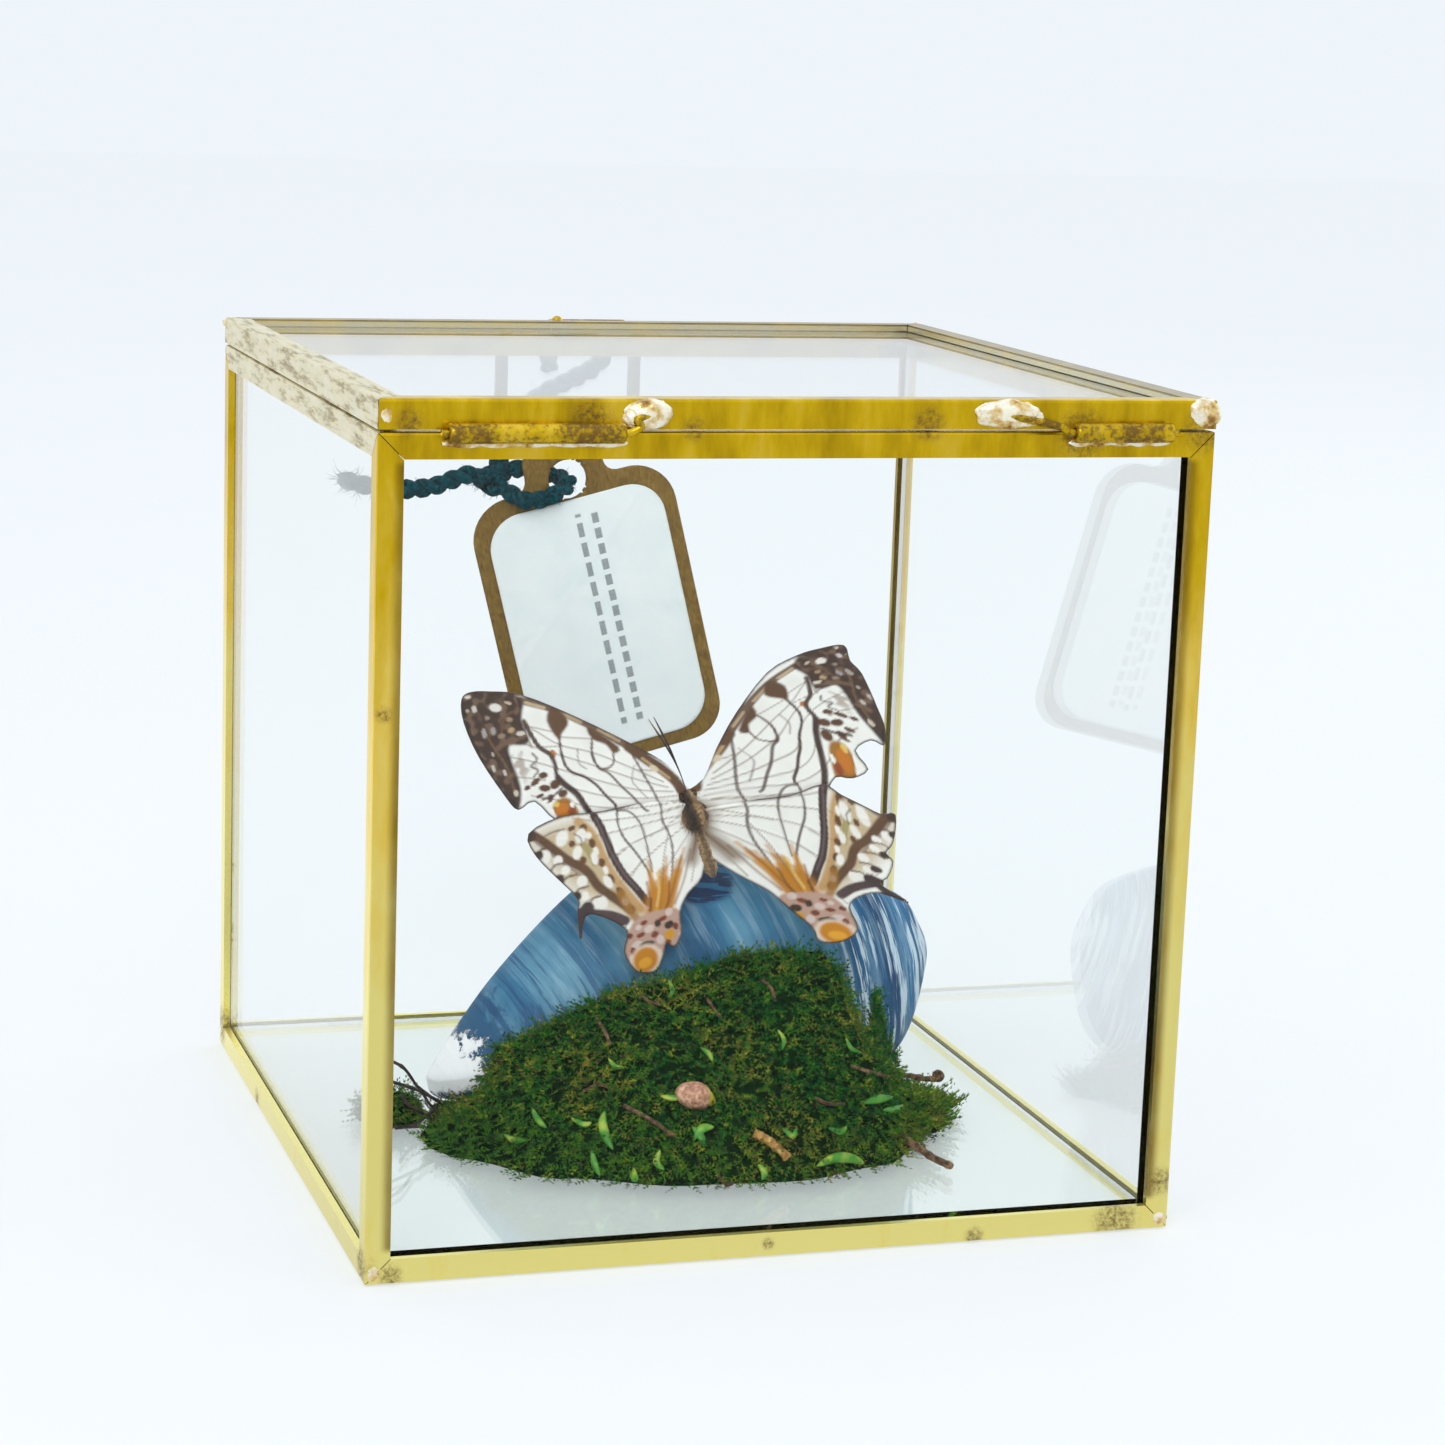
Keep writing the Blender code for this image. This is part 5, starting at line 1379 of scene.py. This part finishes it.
def add_fern(bm):
    """The pointed tuft at the right end: shoots round an upright line."""
    depth = margin_y(34.0) - SHELL_DEPTH - 3.0
    foot = at_depth(*FERN_FOOT, depth)
    tip = at_depth(*FERN_TIP, depth)
    dice = random.Random(8)
    places = []
    for _ in range(420):
        share = dice.random() ** 1.3
        turn = dice.uniform(0, 2 * math.pi)
        out = Vector((math.cos(turn), math.sin(turn) * 0.6, 0))
        place = foot.lerp(tip, share * 0.9) + out * 2.7 * (1 - share ** 0.8)
        places.append((place, (out + STRAIGHT_UP * 0.3).normalized()))
    plant(bm, places, dice, pitch=(0.1, 0.5), size=(0.4, 0.75), downhill=-1.6)
    for _ in range(90):
        foot = on_moss(dice.uniform(900, 944), dice.uniform(1092, 1150), above=-0.6)[0]
        out = Vector((1.0, dice.uniform(-0.6, 0.4), dice.uniform(-0.1, 0.7))).normalized()
        add_shoot(bm, dice.choice(shoots),
                  stand(foot, STRAIGHT_UP, out, dice.uniform(0.0, 0.35), dice.uniform(0.9, 1.35)))


def grow_moss(name, node, count, keep, seed, cuts, edge=None, **habit):
    """A dark core made from the CAD form, and shoots over it, joined to one piece.

    edge says how far a point shows above the moss's edge in the picture; what does is sunk below it.
    """
    form = cad_form(node)
    core = form.copy()
    bmesh.ops.subdivide_edges(core, edges=core.edges, cuts=cuts, use_grid_fill=True)
    foot = min(v.co.z for v in core.verts) + MOSS_FOOT
    core.normal_update()
    for v in core.verts:
        if v.co.z > foot:
            lumps = 0.35 * noise.noise(v.co * 0.55) + 0.2 * noise.noise(v.co * 1.7)
            v.co -= v.normal * (CORE_DEPTH - lumps)
    for f in core.faces:
        f.material_index = 1
    if edge:
        for v in [*core.verts, *form.verts]:
            if v.co.z > foot:
                v.co.z = max(v.co.z - max(edge(v.co) + 0.9, 0.0), foot)
        form.normal_update()
    dice = random.Random(seed)
    plant(core, scatter(form, count, dice, keep), dice, **habit)
    if edge:
        add_fern(core)
    for v in core.verts:
        v.co.z = max(v.co.z, FLOOR_TOP + 0.05)
    form.free()
    return put(core, name, "case", "moss", moss_green, moss_core_shade, stands_for=[node], smooth=60,
               closed=False)


grow_moss("moss_front", "moss_mound", 5200, lambda f: f.normal.z > -0.3 and f.normal.y < 0.55, seed=1,
          cuts=2, edge=above_edge, pitch=(0.1, 0.7), size=(0.45, 1.0))
grow_moss("moss_behind", "moss_clump", 1700, lambda f: f.normal.z > -0.3 and f.normal.y > -0.75,
          seed=2, cuts=2)
grow_moss("moss_end_tuft", "moss_tuft", 260, lambda f: f.normal.z > -0.3, seed=3, cuts=1, size=(0.4, 0.8))

# %% [markdown]
# ## What lies in the moss
#
# A seed pod, twigs, stems and a few yellow-green leaves lie where the photo shows them.  The pod and two
# twigs have their places from the CAD.  The rest are given as pixels of the photo and set where the lines of
# sight through them meet the moss.

# %% Pod and twigs
bm = bmesh.new()
low, high = (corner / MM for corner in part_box("seed_pod"))
middle = (low + high) / 2
bmesh.ops.create_uvsphere(bm, u_segments=32, v_segments=20, radius=1.0)
for v in bm.verts:
    x, y, z = v.co
    pinch = 1 - 0.55 * max(x, 0) ** 2.2
    crease = 1 - 0.16 * math.exp(-(y / 0.16) ** 2) * max(z, 0)
    rough = 1 + 0.07 * noise.noise(v.co * 2.4)
    droop = 0.35 * max(x, 0) ** 2
    v.co = Vector((x * 2.75, y * 1.45 * pinch * rough, z * 1.75 * pinch * crease * rough - droop))
bmesh.ops.rotate(bm, matrix=Matrix.Rotation(math.radians(14), 3, "Y"), verts=bm.verts)
bmesh.ops.translate(bm, vec=middle, verts=bm.verts)


def pod_recipe(at):
    fleck = at.noise(1.5, 4.0, 0.7)
    tip = (at.part("X") + at.noise(1.0) - 0.5).step(middle.x + 1.0, middle.x + 1.9)
    skin = fleck.ramp((0.32, rgb(120, 74, 52)), (0.5, rgb(182, 132, 106)), (0.66, rgb(214, 178, 146)))
    return {"Base Color": tip.mix(skin, rgb(186, 170, 40)), "Height": fleck * 0.2,
            "Roughness": fleck * 0.2 + 0.5}


put(bm, "pod", "case", "seed_pod", finish_of("pod_skin", pod_recipe), stands_for=["seed_pod"], smooth=80)


def knotty(bm, points, radius, seed, sides=9, steps=6):
    """A twig: a rod whose thickness wanders and swells at knots."""
    line = smooth_line(points, steps)
    radii = [radius * (0.9 + 0.3 * noise.noise((i * 0.45, seed, 0)) + 0.22 * (i % 7 == 3))
             for i in range(len(line))]
    rod(bm, line, radii, sides)


twig_bark = speckled(
    "twig_bark", (1.3, 4.0, 0.7), (0.35, rgb(50, 32, 22)), (0.5, rgb(100, 70, 44)),
    (0.65, rgb(158, 122, 84)), bumps=(2.2, 4.0, 0.8, 0.25), Roughness=0.75)
bm = bmesh.new()
low_z = FLOOR_TOP + 1.1
knotty(bm, ((24.6, -23.4, low_z + 0.9), (25.8, -27.0, low_z + 0.3), (26.6, -30.4, low_z),
            (27.6, -33.6, low_z)), 0.52, seed=1)
put(bm, "twig_at_front", "case", "twig", twig_bark, stands_for=["twig_front"], smooth=60)
bm = bmesh.new()
knotty(bm, ((28.6, -9.6, 8.6), (31.0, -8.8, 8.2), (33.4, -8.0, 7.4), (35.4, -7.4, 7.1)), 0.42, seed=2)
berry = bmesh.ops.create_icosphere(bm, subdivisions=3, radius=0.85,
                                   matrix=Matrix.Translation((35.6, -7.5, 7.5)))
for v in berry["verts"]:
    v.co += v.co.normalized() * 0.12 * noise.noise(v.co * 1.5)
put(bm, "twig_at_side", "case", "twig", twig_bark, stands_for=["twig_side"], smooth=60)

# %% Stems
PALE_TWIG = ((752, 1133), (766, 1140), (778, 1150), (786, 1158))
RED_STEM = ((624, 1106), (640, 1114), (656, 1124), (672, 1136))
BROWN_BITS = (
    ((706, 1000), (714, 1012), (720, 1018)), ((583, 1092), (600, 1085), (614, 1090)),
    ((848, 1066), (866, 1072), (884, 1077)), ((716, 1174), (730, 1182), (744, 1184)),
    ((598, 1020), (606, 1034), (610, 1046)), ((640, 996), (650, 1004), (662, 1006)),
    ((760, 980), (770, 990), (774, 1002)), ((812, 1098), (826, 1104), (842, 1104)),
)
bm = bmesh.new()
knotty(bm, [on_moss(*pixel, above=0.7)[0] for pixel in PALE_TWIG], 0.62, seed=3)
pale_wood = speckled(
    "pale_wood", (1.1, 4.0, 0.7), (0.35, rgb(110, 72, 30)), (0.5, rgb(176, 132, 62)),
    (0.65, rgb(206, 176, 110)), bumps=(2.0, 4.0, 0.7, 0.2), Roughness=0.7)
put(bm, "twig_pale", "case", "twig", pale_wood, smooth=60)
bm = bmesh.new()
knotty(bm, [on_moss(*pixel, above=0.5)[0] for pixel in RED_STEM], 0.3, seed=4, sides=6)
for i, bit in enumerate(BROWN_BITS):
    knotty(bm, [on_moss(*pixel, above=0.4)[0] for pixel in bit], 0.24, seed=5 + i, sides=5, steps=3)
put(bm, "stems_brown", "case", "twig", twig_bark, smooth=60)

DARK_STEMS = (
    ((391, 1060), (404, 1068), (416, 1085)), ((416, 1085), (430, 1096), (443, 1104)),
    ((392, 1081), (416, 1089), (440, 1101)), ((391, 1139), (414, 1124), (436, 1106)),
    ((394, 1143), (398, 1132), (424, 1126)), ((420, 1088), (428, 1102), (438, 1114), (436, 1126)),
    ((400, 1094), (410, 1106), (432, 1118)),
)
bm = bmesh.new()
for i, stem in enumerate(DARK_STEMS):
    line = [at_depth(*pixel, -2.5 - 0.5 * (i % 3)) for pixel in stem]
    for p in line:
        p.z = max(p.z, FLOOR_TOP + 0.35)
    knotty(bm, line, 0.24, seed=20 + i, sides=6, steps=4)
dark_stem = speckled("dark_stem", (1.5, 3.0), (0.4, rgb(20, 16, 16)), (0.62, rgb(62, 46, 38)),
                     Roughness=0.6)
put(bm, "stems_dark", "case", "twig", dark_stem, smooth=60)

# %% Leaves


def blade(bm, line, width, normal):
    """A narrow leaf: a rod that swells and closes again, pressed flat onto the slope."""
    path = smooth_line(line, 5)
    share = np.linspace(0, 1, len(path))
    count = len(bm.verts)
    rod(bm, path, width * (0.12 + np.sin(share * math.pi) ** 0.7 * 0.88), 8)
    bm.verts.ensure_lookup_table()
    centre = Vector(path[len(path) // 2])
    for v in bm.verts[count:]:
        v.co -= normal * (v.co - centre).dot(normal) * 0.45


LEAVES = (
    # pixels of the photo along the leaf, half width in millimetres
    (((606, 1112), (603, 1124), (606, 1138), (614, 1150)), 0.62),
    (((812, 1166), (830, 1158), (846, 1158), (860, 1163)), 0.7),
    (((692, 1140), (700, 1130), (712, 1128)), 0.6), (((690, 1128), (698, 1136), (702, 1146)), 0.5),
    (((592, 1150), (595, 1164), (600, 1176)), 0.45), (((628, 1184), (634, 1176), (634, 1168)), 0.5),
    (((860, 1104), (874, 1100), (886, 1098)), 0.55), (((914, 1140), (926, 1136), (936, 1132)), 0.55),
    (((572, 1120), (584, 1126), (592, 1124)), 0.4), (((756, 1164), (762, 1172), (760, 1180)), 0.45),
    (((660, 1098), (672, 1100), (680, 1096)), 0.45), (((876, 1112), (888, 1110), (896, 1106)), 0.4),
    (((660, 1150), (656, 1162), (664, 1170)), 0.42), (((780, 1128), (790, 1136), (794, 1128)), 0.38),
    (((534, 1110), (540, 1122), (548, 1130)), 0.4), (((508, 1136), (518, 1142), (530, 1142)), 0.4),
    (((824, 1128), (836, 1132), (842, 1126)), 0.4), (((700, 1050), (708, 1056), (712, 1064)), 0.34),
    (((610, 1060), (616, 1068), (626, 1070)), 0.3), (((668, 984), (672, 994), (668, 1002)), 0.3),
    (((776, 1032), (782, 1042), (780, 1052)), 0.3), (((842, 1040), (848, 1050), (858, 1054)), 0.32),
)
bm = bmesh.new()
for pixels, width in LEAVES:
    spots = [on_moss(*pixel, above=0.75) for pixel in pixels]
    blade(bm, [s[0] for s in spots], width, spots[len(spots) // 2][1])
leaf_green = speckled(
    "leaf_green", (0.45, 3.0, 0.6), (0.32, rgb(24, 110, 24)), (0.5, rgb(72, 142, 32)),
    (0.66, rgb(160, 176, 60)), bumps=(2.0, 3.0, 0.1), Roughness=0.45)
put(bm, "moss_leaves", "case", "moss", leaf_green, smooth=80)
moss_skin.free()

# %% [markdown]
# ## Hinges and solder
#
# Each hinge is a bit of brass tube soldered to the case, and a wire that runs through it, bends up and is
# held by a blob of solder on the lid's rail.  The blobs froze as they flowed: shiny and uneven, their colour
# a noise from copper brown to near white, which paints shade and highlights on them.  A lump that thins out
# at its rim does this, not a ball.

# %% Tubes
HINGE_Y, HINGE_Z = -51.25, 97.9
TUBE_OUTER, TUBE_BORE, WIRE = 1.15, 0.65, 0.45
RAIL = -50.0
FROZEN_AT = RAIL - 0.02  # the solder's flat side, just outside the rail
LUMPY = 0.16  # how uneven a blob of solder is


def tube_piece(x_range, y, z):
    """A tube along X with rounded rims, by turning its wall's outline."""
    left, right = x_range
    lip = 0.12
    outline = ((left + lip, TUBE_OUTER), (right - lip, TUBE_OUTER), (right, TUBE_OUTER - lip),
               (right, TUBE_BORE), (left, TUBE_BORE), (left, TUBE_OUTER - lip))
    bm = bmesh.new()
    ring = [bm.verts.new((x, 0, r)) for x, r in outline]
    edges = [bm.edges.new(pair) for pair in zip(ring, ring[1:] + ring[:1])]
    bmesh.ops.subdivide_edges(bm, edges=[edges[0], edges[3]], cuts=30)
    bmesh.ops.spin(bm, geom=bm.verts[:] + bm.edges[:], axis=(1, 0, 0), cent=(0, 0, 0), dvec=(0, 0, 0),
                   angle=2 * math.pi, steps=28, use_merge=True)
    for v in bm.verts:
        far = math.hypot(v.co.y, v.co.z)
        if far > TUBE_OUTER - 0.2:
            v.co.yz *= 1 + 0.035 * noise.noise(v.co * 0.9)
    bmesh.ops.translate(bm, vec=(0, y, z), verts=bm.verts)
    return bm


def blob(bm, centre, radii, seed, flat_y=None, material=0):
    """A lump of solder; flat_y is the rail it froze against."""
    count = len(bm.verts)
    bmesh.ops.create_icosphere(bm, subdivisions=4, radius=1.0)
    bm.verts.ensure_lookup_table()
    for v in bm.verts[count:]:
        push = noise.noise(v.co * 1.3 + Vector((seed, 0, 0))) + 0.5 * noise.noise(v.co * 3.1)
        v.co = Vector(centre) + v.co * Vector(radii) * (1 + LUMPY * push)
        if flat_y is not None and (v.co.y - flat_y) * (1 if flat_y < 0 else -1) > 0:
            v.co.y = flat_y
        for f in v.link_faces:
            f.material_index = material


LEFT_TUBE, RIGHT_TUBE = (-42.4, -22.4), (31.6, 43.8)
for name, x_range in (("left", LEFT_TUBE), ("right", RIGHT_TUBE)):
    bm = tube_piece(x_range, HINGE_Y, HINGE_Z)
    long = x_range[1] - x_range[0]
    for i in range(5):
        place = (x_range[0] + long * (i + 0.5) / 5, RAIL - 0.25, HINGE_Z - 1.2)
        blob(bm, place, (long / 8, 0.42, 0.5), i + len(name), FROZEN_AT, 1)
    put(bm, "hinge_barrel_" + name, "case", "hinge_brass", brass_tarnished, solder,
        stands_for=["hinge_tube_" + name], smooth=50)

# %% Hinge wires
SOLDER_Z = 99.9
for name, x_range, solder_x, half in (("left", LEFT_TUBE, -19.4, 2.6), ("right", RIGHT_TUBE, 23.6, 3.8)):
    outward = 1 if x_range[0] > solder_x else -1
    inner = min(x_range) if outward > 0 else max(x_range)
    outer = max(x_range) if outward > 0 else min(x_range)
    bm = bmesh.new()
    path = smooth_line((
        (inner - outward * 0.3, HINGE_Y, HINGE_Z), (inner - outward * 0.9, HINGE_Y + 0.02, HINGE_Z + 0.15),
        (inner - outward * 1.9, HINGE_Y + 0.1, HINGE_Z + 0.75),
        (solder_x + outward * half * 0.6, -51.05, HINGE_Z + 1.5), (solder_x, -50.75, HINGE_Z + 2.0)), 5)
    rod(bm, [(outer + outward * 0.8, HINGE_Y, HINGE_Z), *path], WIRE, 14)
    blob(bm, (solder_x, RAIL - 0.1, SOLDER_Z), (half * 1.05, 1.15, 1.7), 3 + solder_x, FROZEN_AT, 1)
    side_x = solder_x + outward * half * 0.55
    blob(bm, (side_x, RAIL - 0.1, SOLDER_Z - 0.35), (half * 0.6, 0.95, 1.2), 9, FROZEN_AT, 1)
    put(bm, "hinge_pin_" + name, "lid", "hinge_brass", brass_tarnished, solder,
        stands_for=["hinge_wire_" + name], smooth=60)

# %% Solder at the corners
CORNER_LUMPS = (
    # body, place, radii
    ("lid", (48.6, -49.6, 100.1), (2.2, 1.0, 1.7)), ("lid", (49.3, -47.8, 100.6), (1.0, 2.0, 1.1)),
    ("lid", (-49.0, -49.8, 99.8), (0.9, 0.25, 1.4)), ("lid", (49.0, 49.5, 100.8), (1.3, 0.6, 0.9)),
    ("lid", (-49.0, 49.6, 100.9), (1.3, 0.5, 0.8)), ("case", (-49.0, -49.85, 1.4), (0.9, 0.22, 1.1)),
    ("case", (48.9, -49.85, 1.2), (1.0, 0.25, 1.0)), ("case", (-49.8, 49.2, 1.6), (0.3, 1.0, 1.3)),
    ("case", (49.7, 49.3, 1.8), (0.4, 0.9, 1.4)), ("case", (49.7, 48.9, 96.4), (0.4, 1.1, 1.3)),
    ("case", (-49.7, 49.0, 96.2), (0.4, 1.0, 1.2)),
)
for body in ("case", "lid"):
    bm = bmesh.new()
    for i, (owner, place, radii) in enumerate(CORNER_LUMPS):
        if owner == body:
            blob(bm, place, radii, i * 1.7)
    put(bm, "solder_" + body, body, "hinge_brass", solder, smooth=80)

# %% [markdown]
# ## Tag and yarn
#
# A kraft card tag with a paper label hangs outside the back pane.  The paper is cockled and a little
# creased, so it is cut from a grid and bent.  Two rows of grey dashes run up it.  Teal two-ply yarn holds
# the tag: two strands wound round each other, with loose hairs.

# %% Tag
TAG_CENTRE, TAG_TILT, TAG_Y = (3.3, 60.7), 14.5, 51.9
CARD, PAPER, GAP = 0.6, 0.2, 0.1


def arc(centre, radius, start, end, steps=8):
    """Points along an arc, from one angle in degrees to the other."""
    turns = [math.radians(start + (end - start) * i / steps) for i in range(steps + 1)]
    return [(centre[0] + radius * math.cos(t), centre[1] + radius * math.sin(t)) for t in turns]


def hang(bm, y):
    """Stand a flat shape upright behind the back pane, tilted as the tag hangs."""
    turn = Matrix.Rotation(math.pi / 2, 4, "X") @ Matrix.Rotation(math.radians(TAG_TILT), 4, "Z")
    place = Matrix.Translation((TAG_CENTRE[0], y, TAG_CENTRE[1]))
    bmesh.ops.transform(bm, matrix=place @ turn, verts=bm.verts)


def both_halves(*arcs):
    """An outline from the arcs of its right half, mirrored."""
    half = [point for points in arcs for point in points]
    return np.array(half + [(-x, y) for x, y in reversed(half)])


tag_line = both_halves(arc((10.0, -17.5), 5.0, -90, 0), arc((9.0, 12.5), 6.0, 0, 84),
                       arc((7.75, 20.5), 2.0, 264, 180, 4), arc((3.25, 22.0), 2.5, 0, 90, 5))
tag_hole = np.array(arc((0.2, 19.0), 2.8, 0, 345, 23))
label_line = both_halves(arc((8.0, -15.5), 5.0, -90, 0), arc((8.0, 11.1), 5.0, 0, 90))


def on_tag(at):
    """Place on the tag: X across, Z up it, from its middle."""
    return at.node("Mapping", {"vector_type": "TEXTURE"}, {
        "Vector": at, "Location": (TAG_CENTRE[0], TAG_Y, TAG_CENTRE[1]),
        "Rotation": (0, -math.radians(TAG_TILT), 0)})


def kraft(at):
    fibre = on_tag(at).times((1, 1, 0.35)).noise(3.0, 4.0, 0.7)
    cloud = at.noise(0.25, 3.0)
    return {
        "Base Color": (fibre * 0.7 + cloud * 0.3).ramp(
            (0.35, rgb(104, 76, 22)), (0.5, rgb(132, 100, 38)), (0.66, rgb(158, 126, 58))),
        "Height": fibre * 0.1,
    }


def dashes(spot, row, start, half, duty, pitch):
    """1 on the dashes of one row up the tag; half is half their width."""
    across, along = spot.part("X") - row, spot.part("Z")
    turns = along * (1 / pitch) + row
    beat = turns.sum("FRACT", turns)
    dash = beat.step(duty, duty - 0.04) * beat.step(0.0, 0.04)
    band = across.absolute().step(half + 0.08, half - 0.08)
    return dash * band * along.step(start, start - 0.3) * along.step(-17.6, -17.2)


def printed(at):
    spot = on_tag(at)
    fibre = at.noise(4.0, 4.0, 0.7)
    crease = at.noise(0.16, 3.0, 0.55, 0.6)
    ink = dashes(spot, 2.8, 13.6, 0.48, 0.7, 2.3).most(dashes(spot, 0.4, 14.0, 0.42, 0.74, 2.9))
    paper = (crease * 0.6 + fibre * 0.4).ramp(
        (0.3, rgb(238, 246, 246)), (0.5, rgb(249, 253, 253)), (0.7, rgb(255, 255, 255)))
    return {
        "Base Color": (ink * (fibre * 0.5 + 0.45)).mix(paper, rgb(92, 100, 104)),
        "Height": fibre * 0.03 + crease * 0.3,
    }


def cockle(x, y):
    """How far card and paper have warped at a point."""
    return 0.12 * (noise.noise((x * 0.06, y * 0.06, 2)) + 0.25 * noise.noise((x * 0.2, y * 0.2, 2)))


bm = cut_sheet(tag_line, 0.32, [tag_hole])
for v in bm.verts:
    v.co.z = cockle(v.co.x, v.co.y)
hang(bm, TAG_Y + CARD / 2)
kraft_card = finish_of("kraft_card", kraft, Roughness=0.85)
tag = put(bm, "tag_board", "case", "card", kraft_card, stands_for=["tag_card"], smooth=180, closed=False)
thicken(tag, "Card", CARD * 0.9)
bm = cut_sheet(label_line, 0.4)
for v in bm.verts:
    fold = 0.10 * math.exp(-((v.co.y + 0.35 * v.co.x - 2.0) / 0.7) ** 2)
    fold += 0.08 * math.exp(-((v.co.y - 0.9 * v.co.x - 6.0) / 0.6) ** 2)
    v.co.z = cockle(v.co.x, v.co.y) + 0.05 + fold
hang(bm, TAG_Y - GAP - PAPER / 2)
label_paper = finish_of("label_paper", printed, Roughness=0.8)
label = put(bm, "tag_paper", "case", "label", label_paper, stands_for=["tag_label"], smooth=180,
            closed=False)
thicken(label, "Paper", PAPER * 0.5)

# %% Yarn
YARN = 1.2  # its radius
BACK_OF_BOX = 50.05  # no hair stands inside this
KNOT = (-12.5, 52.1, 79.1)
YARN_RUN = (
    (-4.4, 51.4, 92.9), (-4.5, 51.4, 95.0), (-3.4, 51.4, 97.0), (-1.3, 51.4, 97.8), (1.3, 51.4, 97.3),
    (3.3, 51.4, 95.4), (2.4, 51.4, 93.4), (-0.6, 51.4, 91.7), (-4.0, 51.4, 90.1), (-7.1, 51.4, 88.0),
    (-9.6, 51.4, 84.9), (-11.2, 51.6, 82.0), KNOT,
    (-15.3, 51.6, 79.9), (-17.6, 51.2, 79.4), (-21.1, 51.0, 78.3), (-25.0, 51.0, 78.0), (-28.8, 51.1, 78.5),
    (-32.1, 51.2, 79.4),
)
YARN_RING = (
    (-11.2, 51.6, 78.3), (-9.9, 51.1, 77.5), (-8.6, 50.7, 76.6), (-6.6, 50.6, 76.3), (-4.4, 50.6, 76.8),
    (-2.7, 50.7, 77.6), (-1.4, 51.5, 78.4), (-1.1, 52.6, 78.8), (-1.8, 53.8, 79.1), (-3.6, 54.2, 79.6),
    (-6.0, 54.2, 80.2), (-8.0, 53.8, 80.4), (-9.6, 53.1, 80.2), (-11.4, 52.6, 79.8),
)


def two_ply(bm, line, ply, pitch, radius):
    """Two strands wound round a line; ply is a strand's radius and radius the helix's."""
    pts = [Vector(p) for p in line]
    side = STRAIGHT_UP
    run = 0.0
    strands = ([], [])
    for i, p in enumerate(pts):
        way = (pts[min(i + 1, len(pts) - 1)] - pts[max(i - 1, 0)]).normalized()
        side = (side - way * side.dot(way)).normalized()
        across = way.cross(side)
        run += (p - pts[i - 1]).length if i else 0
        for strand, phase in zip(strands, (0, math.pi)):
            turn = run / pitch * 2 * math.pi + phase
            wander = 0.1 * noise.noise((run * 0.5, phase, 3))
            strand.append(p + (side * math.cos(turn) + across * math.sin(turn)) * (radius + wander))
    for strand in strands:
        rod(bm, strand, [ply * (1 + 0.12 * noise.noise((i * 0.35, ply, 1))) for i in range(len(strand))], 9)
    return run


def fuzz(bm, line, count, reach, dice):
    """Loose hairs that stand off a yarn."""
    for _ in range(count):
        i = dice.randrange(len(line) - 1)
        start = Vector(line[i]) + (Vector(line[i + 1]) - Vector(line[i])) * dice.random()
        way, drift = (Vector([dice.gauss(0, 1) for _ in "xyz"]) for _ in range(2))
        way.normalize()
        drift *= 0.3
        long = dice.uniform(0.4, 1.0) * reach
        start += way * YARN * 0.7
        points = [start, start + way * long * 0.5 + drift * 0.2, start + way * long * 0.8 + drift * long]
        rod(bm, points, (0.045, 0.035, 0.015), 3)


wool = speckled(
    "wool", (1.6, 4.0, 0.75), (0.32, rgb(0, 30, 38)), (0.5, rgb(0, 68, 78)), (0.66, rgb(6, 108, 116)),
    bumps=(5.0, 3.0, 0.7, 0.3), Roughness=0.95, Sheen_Weight=0.05, Specular_IOR_Level=0.05)
dice = random.Random(11)
run_line = smooth_line(YARN_RUN, 8)
ring_line = smooth_line(YARN_RING, 6)
bm = bmesh.new()
yarn_length = two_ply(bm, run_line, ply=0.8, pitch=4.4, radius=0.58)
yarn = put(bm, "yarn", "case", "yarn", wool, stands_for=["yarn_strand", "yarn_tail"], smooth=180)
bm = bmesh.new()
two_ply(bm, ring_line, ply=0.78, pitch=4.4, radius=0.56)
ring = put(bm, "yarn_loop", "case", "yarn", wool, stands_for=["yarn_ring"], smooth=180)
bm = bmesh.new()
knot_turns = [
    (KNOT[0] + 1.35 * math.cos(t) + 0.25 * math.sin(2 * t), KNOT[1] + 0.75 * math.sin(t * 2 + 0.4),
     KNOT[2] + 1.3 * math.sin(t + 0.5 * math.sin(t)))
    for t in np.linspace(0, 4.2 * math.pi, 60)]
two_ply(bm, knot_turns, ply=0.62, pitch=4.0, radius=0.42)
knot = put(bm, "yarn_tie", "case", "yarn", wool, stands_for=["yarn_knot"], smooth=180)
bm = bmesh.new()
fuzz(bm, run_line, 420, 1.3, dice)
fuzz(bm, ring_line, 160, 1.0, dice)
fuzz(bm, knot_turns, 120, 1.2, dice)
fuzz(bm, run_line[-12:], 120, 2.4, dice)
for v in bm.verts:
    v.co.y = max(v.co.y, BACK_OF_BOX)
hairs = put(bm, "yarn_fuzz", "case", "yarn", wool, smooth=180)
print("yarn:", round(yarn_length, 1), "mm")

# %% Clear away the spare shoot meshes
for mesh in shoots:
    bpy.data.meshes.remove(mesh)
